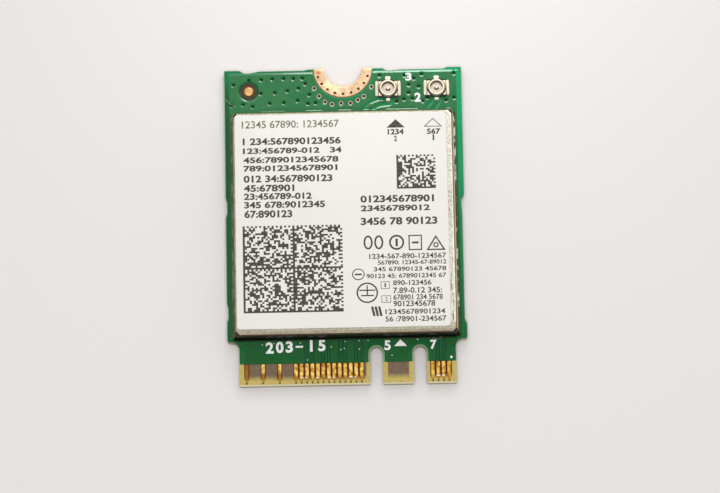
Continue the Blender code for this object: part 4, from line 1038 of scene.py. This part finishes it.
solder, tree, shader = new_material("reflowed_tin_solder", roughness=0.22, metallic=1.0)
place = node(tree, "TexCoord").outputs["Object"]
cloud = node(tree, "TexNoise", {"Vector": place, "Scale": 1300.0, "Detail": 4.0})
at_x, at_y, _ = node(tree, "SeparateXYZ", {0: place}).outputs
at_can = node(tree, "MapRange", {"Value": at_y, "From Min": 10.95 * MM, "From Max": 11.10 * MM,
                                 "To Min": 1.0, "To Max": 0.0})
flux = node(tree, "MapRange", {"Value": cloud, "From Min": 0.40, "From Max": 0.50})
flux = node(tree, "Math", {0: flux, 1: at_can}, operation="MULTIPLY")
colour = node(tree, "Mix", {0: flux, 6: linear("#e4e1d4"), 7: linear("#5a5c3c")}, data_type="RGBA")
on_left = node(tree, "MapRange", {"Value": at_x, "From Min": -10.0 * MM, "From Max": -10.2 * MM,
                                  "To Max": 0.85})
colour = node(tree, "Mix", {0: on_left, 6: colour, 7: linear("#66663a")}, data_type="RGBA")
shaded = node(tree, "MapRange", {"Value": at_y, "From Min": -10.45 * MM, "From Max": -10.60 * MM})
colour = node(tree, "Mix", {0: shaded, 6: colour, 7: linear("#10180e")}, data_type="RGBA")
ripple = node(tree, "TexNoise", {"Vector": place, "Scale": 5000.0, "Detail": 2.0})
bump = node(tree, "Bump", {"Height": ripple, "Strength": 0.3, "Distance": GRAIN_DEPTH})
feed(shader, base_color=colour, normal=bump)
finish(solder_line, solder, "nickel_silver_sheet", smooth=60.0)

# %% [markdown]
# Two threads of dirt are kept as the photograph shows them: a hair that lies over the left rim behind
# the can, and a shorter one in front of the can. Each is the same kind of thin curve as the solder line.

# %% Hairs
HAIRS = (
    (((-10.98, 12.32), (-10.80, 12.10), (-10.55, 11.85), (-10.25, 11.66), (-9.95, 11.50)), 0.012, 0.800),
    (((7.75, -10.86), (7.95, -10.80), (8.20, -10.94), (8.42, -10.86), (8.60, -10.70)), 0.010, 0.860))
hairs = join([bead("hair", points, radius, level, 1.0, 0.1, False) for points, radius, level in HAIRS],
             "stray_hairs")
fibre = two_tone("pale_dust_fibre", "#8fa893", "#e0e8de", 5000.0, roughness=0.6)
finish(hairs, fibre, "green_solder_mask")

# %% [markdown]
# ## The label
# The label is coated paper with a gum back, cut with round corners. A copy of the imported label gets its
# upper rim eased by the cutting die. Its top is lowered by a hair, so that the print can lie
# on it and stay within the card's height.

# %% Label
label = copy_of_solid("label")
label.name = "paper_label"
pick(label, "FACE", lambda ends: all(p.z > label_top - 0.001 for p in ends))
bpy.ops.transform.translate(value=(0.0, 0.0, -0.008 * MM))
bpy.ops.object.mode_set(mode="OBJECT")
use(label, "BEVEL", width=0.02 * MM, segments=3, limit_method="ANGLE", angle_limit=math.radians(60.0))
PRINT_LEVEL = label_top - 0.003

coated, tree, shader = new_material("coated_white_label_paper", roughness=0.42, ior=1.45)
place = node(tree, "TexCoord").outputs["Object"]
pulp = node(tree, "TexNoise", {"Vector": place, "Scale": 1800.0, "Detail": 5.0})
tone = node(tree, "TexNoise", {"Vector": place, "Scale": 120.0, "Detail": 2.0})
colour = node(tree, "Mix", {0: tone, 6: linear("#e5e3de"), 7: linear("#eeece7")}, data_type="RGBA")
bump = node(tree, "Bump", {"Height": pulp, "Strength": 0.10, "Distance": GRAIN_DEPTH})
feed(shader, base_color=colour, normal=bump)
finish(label, coated, "white_label_paper", "label")

# %% [markdown]
# ## The print
# The print is laid out as on the real label, as a heading, two columns of lines, two squares of code
# cells, two triangles over the receptacles and a row of small marks. What it says is plain counting
# digits, the cells come from a seeded dice, and the marks are plain rings, squares and bars.
# A line of digits is a text object turned into a mesh and stretched to its box.

# %% Printed lines
def fit(piece, box, level):
    """Stretches a flat mesh to a box (left, right, front, back) in mm and lays it at a level."""
    points = np.zeros(len(piece.data.vertices) * 3)
    piece.data.vertices.foreach_get("co", points)
    points = points.reshape(-1, 3)
    low, high = points.min(axis=0), points.max(axis=0)
    for axis, (start, end) in enumerate((box[:2], box[2:])):
        share = (points[:, axis] - low[axis]) / (high[axis] - low[axis])
        points[:, axis] = (start + share * (end - start)) * MM
    points[:, 2] += level * MM
    piece.data.vertices.foreach_set("co", points.ravel())
    piece.data.update()


def digits(words, box, level, weight=0.0, thickness=0.0):
    """A line of digits as a mesh that fills a box; weight makes its strokes bolder."""
    bpy.ops.object.text_add(location=(0.0, 0.0, 0.0))
    made = bpy.context.object
    made.data.body = words
    made.data.size = 1.0
    made.data.offset = weight
    made.data.resolution_u = 4
    bpy.ops.object.convert(target="MESH")
    made = bpy.context.object
    fit(made, box, level)
    if thickness:
        use(made, "SOLIDIFY", thickness=thickness * MM, offset=1.0)
    return made


def taller(box):
    """The boxes were read off at half darkness, so each grows by a stroke's half width."""
    return (box[0], box[1], box[2] - 0.08, box[3] + 0.08)


LINES = (
    ("1 234:567890123456", (-9.32, -0.28, 7.46, 7.98)), ("123:456789-012   34", (-9.31, -0.21, 6.62, 7.03)),
    ("456:789012345678", (-9.30, -0.52, 5.74, 6.16)), ("789:012345678901", (-9.29, -0.63, 4.94, 5.36)),
    ("012 34:567890123", (-9.28, -1.11, 3.89, 4.43)), ("45:678901", (-9.27, -4.62, 3.01, 3.53)),
    ("23:456789-012", (-9.27, -3.03, 2.25, 2.73)), ("345 678:9012345", (-9.26, -1.82, 1.44, 1.93)),
    ("67:890123", (-9.25, -4.85, 0.53, 1.10)), ("1234", (4.06, 5.54, 8.23, 8.62)),
    ("2", (4.66, 4.90, 7.60, 7.98)),
    ("567", (7.68, 8.91, 8.21, 8.60)), ("1", (8.19, 8.35, 7.62, 8.00)),
    ("012345678901", (1.43, 8.19, 1.79, 2.33)),
    ("23456789012", (1.45, 7.80, 0.96, 1.39)), ("3456 78 90123", (1.42, 8.46, -0.35, 0.23)))
SMALL_LINES = (
    ("1234-567-890-1234567", (2.14, 9.20, -3.55, -3.21)),
    ("567890: 12345-67-89012", (2.92, 9.19, -4.11, -3.84)),
    ("345 67890123 45678", (2.53, 9.17, -4.73, -4.47)),
    ("90123 45: 6789012345 67", (1.86, 9.15, -5.38, -5.10)),
    ("890-123456", (4.27, 7.78, -6.07, -5.74)), ("7.89-0.12 345:", (4.26, 8.74, -6.81, -6.43)),
    ("678901 234 5678", (4.28, 8.79, -7.44, -7.08)), ("9012345678", (4.26, 8.09, -8.06, -7.67)),
    ("12345678901234", (3.52, 8.99, -8.78, -8.45)), ("56 :78901-234567", (3.50, 9.08, -9.47, -9.12)))
printed = [digits(words, taller(box), PRINT_LEVEL, 0.034) for words, box in LINES]
printed += [digits(words, taller(box), PRINT_LEVEL, 0.020) for words, box in SMALL_LINES]
heading = digits("12345 67890: 1234567", (-9.38, -0.42, 8.98, 9.70), PRINT_LEVEL, 0.014)
print("printed lines:", len(printed) + 1)

# %% Code squares
def code_square(box, cells, blocks, seed):
    """Square of dark and light cells: a grid whose light cells are deleted."""
    left, side, front, rear = box
    bpy.ops.mesh.primitive_grid_add(x_subdivisions=cells, y_subdivisions=cells, size=1.0)
    made = bpy.context.object
    dice = random.Random(seed)
    run = cells // blocks
    light = set()
    for row in range(cells):
        for column in range(cells):
            inner_row, inner_column = row % run, column % run
            dark = dice.random() < 0.5
            if inner_row == 0 or inner_column == 0:
                dark = True
            elif inner_row == run - 1:
                dark = column % 2 == 0
            elif inner_column == run - 1:
                dark = row % 2 == 1
            if not dark:
                light.add((row, column))

    def is_light(ends):
        middle = sum(ends, Vector()) / len(ends) * MM
        return (int((middle.y + 0.5) * cells), int((middle.x + 0.5) * cells)) in light

    pick(made, "FACE", is_light)
    bpy.ops.mesh.delete(type="FACE")
    bpy.ops.object.mode_set(mode="OBJECT")
    fit(made, box, PRINT_LEVEL)
    return made


squares = [code_square((-9.43, -0.29, -8.51, -0.31), 48, 2, 5),
           code_square((4.81, 8.39, 2.99, 6.20), 20, 1, 9)]
print("code cells:", [len(square.data.polygons) for square in squares])

# %% [markdown]
# A ring, frame or triangle is a flat circle with few or many corners, filled, inset by the line's width,
# and emptied in the middle.

# %% Marks
def outline(corners, box, width, turn=0.0):
    """An outlined ring, frame or triangle that fills a box."""
    bpy.ops.mesh.primitive_circle_add(vertices=corners, radius=1.0, fill_type="NGON",
                                      rotation=(0.0, 0.0, math.radians(turn)))
    made = bpy.context.object
    settle(made)
    fit(made, box, PRINT_LEVEL)
    if width:
        pick(made, "FACE", lambda ends: True)
        bpy.ops.mesh.inset(thickness=width * MM, depth=0.0)
        bpy.ops.mesh.delete(type="FACE")
        bpy.ops.object.mode_set(mode="OBJECT")
    return made


def bar(left, side, front, rear):
    """A filled bar between four edges."""
    return outline(4, (left, side, front, rear), 0.0, 45.0)


marks = [outline(3, (7.38, 9.09, 8.85, 9.68), 0.07),
         outline(48, (1.64, 2.48, -2.72, -1.40), 0.16), outline(48, (2.62, 3.45, -2.72, -1.40), 0.16),
         outline(48, (3.98, 5.37, -2.81, -1.38), 0.17), bar(4.57, 4.78, -2.46, -1.74),
         outline(4, (5.77, 7.00, -2.86, -1.42), 0.11, 45.0), bar(6.08, 6.69, -2.23, -2.05),
         outline(3, (7.39, 9.15, -2.89, -1.47), 0.13), outline(24, (8.02, 8.52, -2.64, -2.14), 0.11),
         outline(40, (0.53, 1.69, -5.60, -4.51), 0.09), bar(0.78, 1.44, -5.13, -4.98),
         outline(4, (3.15, 3.96, -6.46, -5.75), 0.05, 45.0),
         outline(4, (3.19, 4.05, -7.76, -7.08), 0.05, 45.0),
         outline(56, (0.91, 2.88, -7.76, -5.83), 0.14), bar(1.15, 2.64, -6.62, -6.50),
         bar(1.30, 2.49, -7.12, -7.00),
         bar(1.84, 1.95, -7.00, -6.10)]
marks += [digits("1", (3.48, 3.62, -6.30, -5.90), PRINT_LEVEL),
          digits("2", (3.52, 3.74, -7.60, -7.22), PRINT_LEVEL)]
for step in range(3):
    stripe = bar(2.30 + 0.32 * step, 2.52 + 0.32 * step, -9.00, -8.10)
    alone(stripe)
    for corner in stripe.data.vertices:
        corner.co.x += 0.10 * MM * (1.0 if corner.co.y < -8.5 * MM else -1.0)
    marks.append(stripe)
solid_triangle = outline(3, (3.96, 5.65, 8.82, 9.62), 0.0)
fine_print = join(printed + squares + marks + [solid_triangle], "label_print")
heading.name = "label_heading_print"

# %% [markdown]
# Thermal-transfer ink is a thin matt film, dark grey-brown, with a faint grain where the paper shows through.
# The heading is printed as a half-tone, so it looks lighter and coarser.

# %% Ink materials
def ink(name, dark, light, low, high, grain):
    """A matt ink with a grain of a lighter tone, where the paper shows through."""
    made, tree, shader = new_material(name, roughness=0.6)
    place = node(tree, "TexCoord").outputs["Object"]
    dots = node(tree, "TexNoise", {"Vector": place, "Scale": grain, "Detail": 2.0})
    share = node(tree, "MapRange", {"Value": dots, "From Min": low, "From Max": high})
    colour = node(tree, "Mix", {0: share, 6: linear(dark), 7: linear(light)}, data_type="RGBA")
    feed(shader, base_color=colour)
    return made


line_ink = ink("grey_brown_transfer_ink", "#2f281e", "#62574a", 0.40, 0.75, 5200.0)
heading_ink = ink("half_tone_transfer_ink", "#57503f", "#a39a88", 0.38, 0.66, 8000.0)
finish(fine_print, line_ink, "white_label_paper", smooth=0)
finish(heading, heading_ink, "white_label_paper", smooth=0)

# %% [markdown]
# ## Silkscreen
# The legend on the mask is white epoxy ink pushed through a screen, so its strokes are plump and round.
# It holds digits and one arrowhead that points to the first pin.

# %% Silkscreen
SILK_LEVEL, SILK_WEIGHT, SILK_THICKNESS = 0.7925, 0.036, 0.006
LEGEND = (
    ("2", (-7.49, -6.77, -11.98, -10.92)), ("0", (-6.56, -5.86, -11.95, -10.88)),
    ("3", (-5.66, -5.00, -11.93, -10.86)), ("-", (-4.76, -4.08, -11.48, -11.31)),
    ("1", (-3.44, -3.20, -11.87, -10.80)), ("5", (-2.68, -2.02, -11.85, -10.78)),
    ("5", (3.36, 3.94, -11.87, -10.94)), ("7", (7.56, 8.16, -11.85, -10.97)),
    ("3", (5.82, 6.40, 13.73, 14.49)), ("2", (6.63, 7.23, 11.68, 12.55)))
silk = [digits(words, box, SILK_LEVEL, SILK_WEIGHT, SILK_THICKNESS) for words, box in LEGEND]
arrow = outline(3, (4.26, 5.43, -11.50, -10.87), 0.0)
arrow.location.z = (SILK_LEVEL - PRINT_LEVEL) * MM
settle(arrow)
use(arrow, "SOLIDIFY", thickness=SILK_THICKNESS * MM, offset=1.0)
pip = disc(9.47, -12.62, 0.7955, 0.11, SILK_THICKNESS, 20)
silk = join(silk + [arrow, pip], "silkscreen_legend")
legend = two_tone("white_epoxy_legend_ink", "#f3f7f2", "#ffffff", 2500.0, 3.0, roughness=0.5)
finish(silk, legend, "green_solder_mask", smooth=0)

# %% [markdown]
# ## The coax receptacles
# Each receptacle is a stamped and gold-flashed shell over a moulded base, with a pin in the middle.
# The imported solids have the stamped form, so copies of them get the eased edges that catch the light.
# The flange is folded up at both sides into low rails, which are blocks set a little aslant and bevelled.

# %% Receptacles
ROW = 12.93
RECEPTACLES = ((4.18, ROW), (8.68, ROW))
# across the card: the middle between the receptacles, half their distance, and an axis to a rail's crease
CREASE_OFFSETS = (6.43, 2.25, 0.885)


def from_receptacle(tree, place):
    """The distance from the nearer receptacle's axis."""
    nearest = None
    for x, y in RECEPTACLES:
        flat = node(tree, "Mapping", {"Vector": place, "Location": (-x * MM, -y * MM, 0.0),
                                      "Scale": (1.0, 1.0, 0.0)})
        reach = node(tree, "VectorMath", {0: flat}, operation="LENGTH")
        if nearest is not None:
            reach = node(tree, "Math", {0: nearest, 1: reach}, operation="MINIMUM")
        nearest = reach
    return nearest


flash, tree, shader = new_material("gold_flashed_phosphor_bronze", roughness=0.24, metallic=1.0)
place = node(tree, "TexCoord").outputs["Object"]
cloud = node(tree, "TexNoise", {"Vector": place, "Scale": 2200.0, "Detail": 4.0})
clean = node(tree, "Mix", {0: cloud, 6: linear("#dbcfb2"), 7: linear("#fffaf0")}, data_type="RGBA")
away = from_receptacle(tree, place)
start = node(tree, "MapRange", {"Value": away, "From Min": 0.745 * MM, "From Max": 0.765 * MM})
end = node(tree, "MapRange", {"Value": away, "From Min": 0.86 * MM, "From Max": 0.92 * MM,
                              "To Min": 1.0, "To Max": 0.0})
band = node(tree, "Math", {0: start, 1: end}, operation="MULTIPLY")
at_x, at_y, _ = node(tree, "SeparateXYZ", {0: place}).outputs
# The band round the ring's foot is olive at the back and painted near-black in front: painted shadow of the
# raised ring.
before = node(tree, "MapRange", {"Value": at_y, "From Min": 13.10 * MM, "From Max": 12.75 * MM})
ring_foot_tone_and_painted_shadow = node(tree, "Mix", {0: before, 6: linear("#a39562"), 7: linear("#2c1c0c")}, data_type="RGBA")
# A darker line just inside each rail, where it folds up from the flange, is painted shade.
beside = at_x
for offset in CREASE_OFFSETS:
    beside = node(tree, "Math", {0: beside, 1: offset * MM}, operation="SUBTRACT")
    beside = node(tree, "Math", {0: beside}, operation="ABSOLUTE")
rail_crease_painted_shade = node(tree, "MapRange", {"Value": beside, "From Min": 0.025 * MM, "From Max": 0.055 * MM,
                                 "To Min": 0.9, "To Max": 0.0})
clean = node(tree, "Mix", {0: rail_crease_painted_shade, 6: clean, 7: linear("#8c7c48")}, data_type="RGBA")
colour = node(tree, "Mix", {0: band, 6: clean, 7: ring_foot_tone_and_painted_shadow}, data_type="RGBA")
rough = node(tree, "MapRange", {"Value": cloud, "To Min": 0.42, "To Max": 0.60})
feed(shader, base_color=colour, roughness=rough)

moulded, tree, shader = new_material("moulded_liquid_crystal_polymer", roughness=0.5)
place = node(tree, "TexCoord").outputs["Object"]
cloud = node(tree, "TexNoise", {"Vector": place, "Scale": 3500.0, "Detail": 3.0})
away = from_receptacle(tree, place)
_, at_y, _ = node(tree, "SeparateXYZ", {0: place}).outputs
# Painted shade: a dark crescent on the back half of the ring's inside, a dark notch in front of the pin as
# its painted shadow, and near-black outer walls under the flange.
behind = node(tree, "MapRange", {"Value": at_y, "From Min": 12.93 * MM, "From Max": 13.10 * MM})
before = node(tree, "MapRange", {"Value": at_y, "From Min": 12.98 * MM, "From Max": 12.86 * MM})
outside = node(tree, "MapRange", {"Value": away, "From Min": 0.47 * MM, "From Max": 0.52 * MM})
back_wall_painted_shade = node(tree, "Math", {0: outside, 1: behind}, operation="MULTIPLY")
hub = node(tree, "MapRange", {"Value": away, "From Min": 0.24 * MM, "From Max": 0.28 * MM,
                              "To Min": 1.0, "To Max": 0.0})
pin_painted_shadow = node(tree, "Math", {0: hub, 1: before}, operation="MULTIPLY")
line = node(tree, "Math", {0: away, 1: 0.40 * MM}, operation="SUBTRACT")
line = node(tree, "Math", {0: line}, operation="ABSOLUTE")
line = node(tree, "MapRange", {"Value": line, "From Min": 0.01 * MM, "From Max": 0.035 * MM,
                               "To Min": 0.55, "To Max": 0.0})
base_wall_painted_shade = node(tree, "MapRange", {"Value": away, "From Min": 0.70 * MM, "From Max": 0.78 * MM})
colour = node(tree, "Mix", {0: cloud, 6: linear("#d3c4b2"), 7: linear("#f6ebe0")}, data_type="RGBA")
for share, tone in ((line, "#8c7650"), (pin_painted_shadow, "#3c2e0a"), (back_wall_painted_shade, "#38260e"), (base_wall_painted_shade, "#1c1810")):
    colour = node(tree, "Mix", {0: share, 6: colour, 7: linear(tone)}, data_type="RGBA")
bump = node(tree, "Bump", {"Height": cloud, "Strength": 0.2, "Distance": GRAIN_DEPTH})
feed(shader, base_color=colour, normal=bump)

coax_drops = []
for side in ("main", "aux"):
    for part, width, material, slot in (("shell", 0.020, flash, "plated_contact_shell"),
                                        ("base", 0.015, moulded, "pale_moulded_base"),
                                        ("contact", 0.015, flash, "gold_plated_contact")):
        solid = "coax_%s_%s" % (side, part)
        piece = copy_of_solid(solid)
        piece.name = "receptacle_%s_%s" % (side, part)
        use(piece, "BEVEL", width=width * MM, segments=2, limit_method="ANGLE",
            angle_limit=math.radians(40.0))
        finish(piece, material, slot, solid)
    low, high = [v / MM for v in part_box("coax_%s_shell" % side)]
    x, y = (low.x + high.x) / 2, ROW
    rails = []
    for hand in (-1, 1):
        rail = block("rail", (x + hand * 0.99 - 0.07, y - 0.60, 1.08),
                     (x + hand * 0.99 + 0.07, y + 0.70, 1.22))
        pick(rail, "VERT", lambda ends: ends[0].y > y)
        bpy.ops.transform.translate(value=(hand * 0.06 * MM, 0.0, 0.0))
        ease(rail, lambda ends: all(p.z > 1.19 for p in ends), 0.045, 3)
        rails.append(rail)
    finish(join(rails, "receptacle_%s_rails" % side), flash, "plated_contact_shell")
    coax_drops += [drop(low.x + 0.02, y, 0.80, 0.20, 1.30, 0.16),
                   drop(high.x - 0.02, y, 0.80, 0.20, 1.30, 0.16),
                   drop(x, high.y - 0.02, 0.80, 0.56, 0.26, 0.16), drop(x, y - 1.10, 0.80, 0.46, 0.26, 0.13)]
coax_solder = join(coax_drops, "receptacle_solder")
finish(coax_solder, solder, "plated_contact_shell", smooth=60.0)

# %% [markdown]
# ## The parts under the can
# Nothing shows them in the photograph, but the can may be lifted off the model. They keep their packed
# form, and each gets the finish of its kind: moulded epoxy, fired ceramic, ferrite, glaze or plated lid.

# %% Covered parts
def plain_finish(name, dark, light, scale, roughness, metallic=0.0):
    """A finish with a fine grain of its own colour, for a part that the can covers."""
    return two_tone(name, dark, light, scale, 3.0, 0.2, roughness=roughness, metallic=metallic)


black_mould = plain_finish("black_moulded_epoxy", "#141414", "#2c2c2b", 5000.0, 0.55)
COVERED = (
    (("wireless_processor", "front_end", "antenna_switch", "voltage_regulator", "memory_chip"), black_mould),
    (("crystal_base",), plain_finish("grey_fired_ceramic", "#77736a", "#a29c90", 3500.0, 0.6)),
    (("crystal_lid",), plain_finish("plated_crystal_lid", "#c9a85c", "#efd898", 2500.0, 0.3, 1.0)),
    (("diplexer", "band_filter", "balun"),
     plain_finish("white_filter_ceramic", "#c4c0b4", "#e6e2d8", 3500.0, 0.45)),
    (("power_inductor",), plain_finish("grey_pressed_ferrite", "#34343a", "#55555a", 4000.0, 0.6)),
    (("capacitor",), plain_finish("tan_fired_ceramic", "#86664a", "#ab8a68", 4500.0, 0.45)),
    (("resistor",), plain_finish("black_resistor_glaze", "#1d1d20", "#3a3a3e", 4500.0, 0.35)))
count = 0
for name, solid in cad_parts.items():
    for starts, material in COVERED:
        if name.startswith(starts):
            for place_of in solid.material_slots:
                place_of.material = material
            count += 1
print("covered parts finished:", count)

# %% [markdown]
# ## The end
# The working copy of the imported board is removed. The dressed model must stay in the imported
# box.

# %% Finish
bpy.data.objects.remove(board_copy)
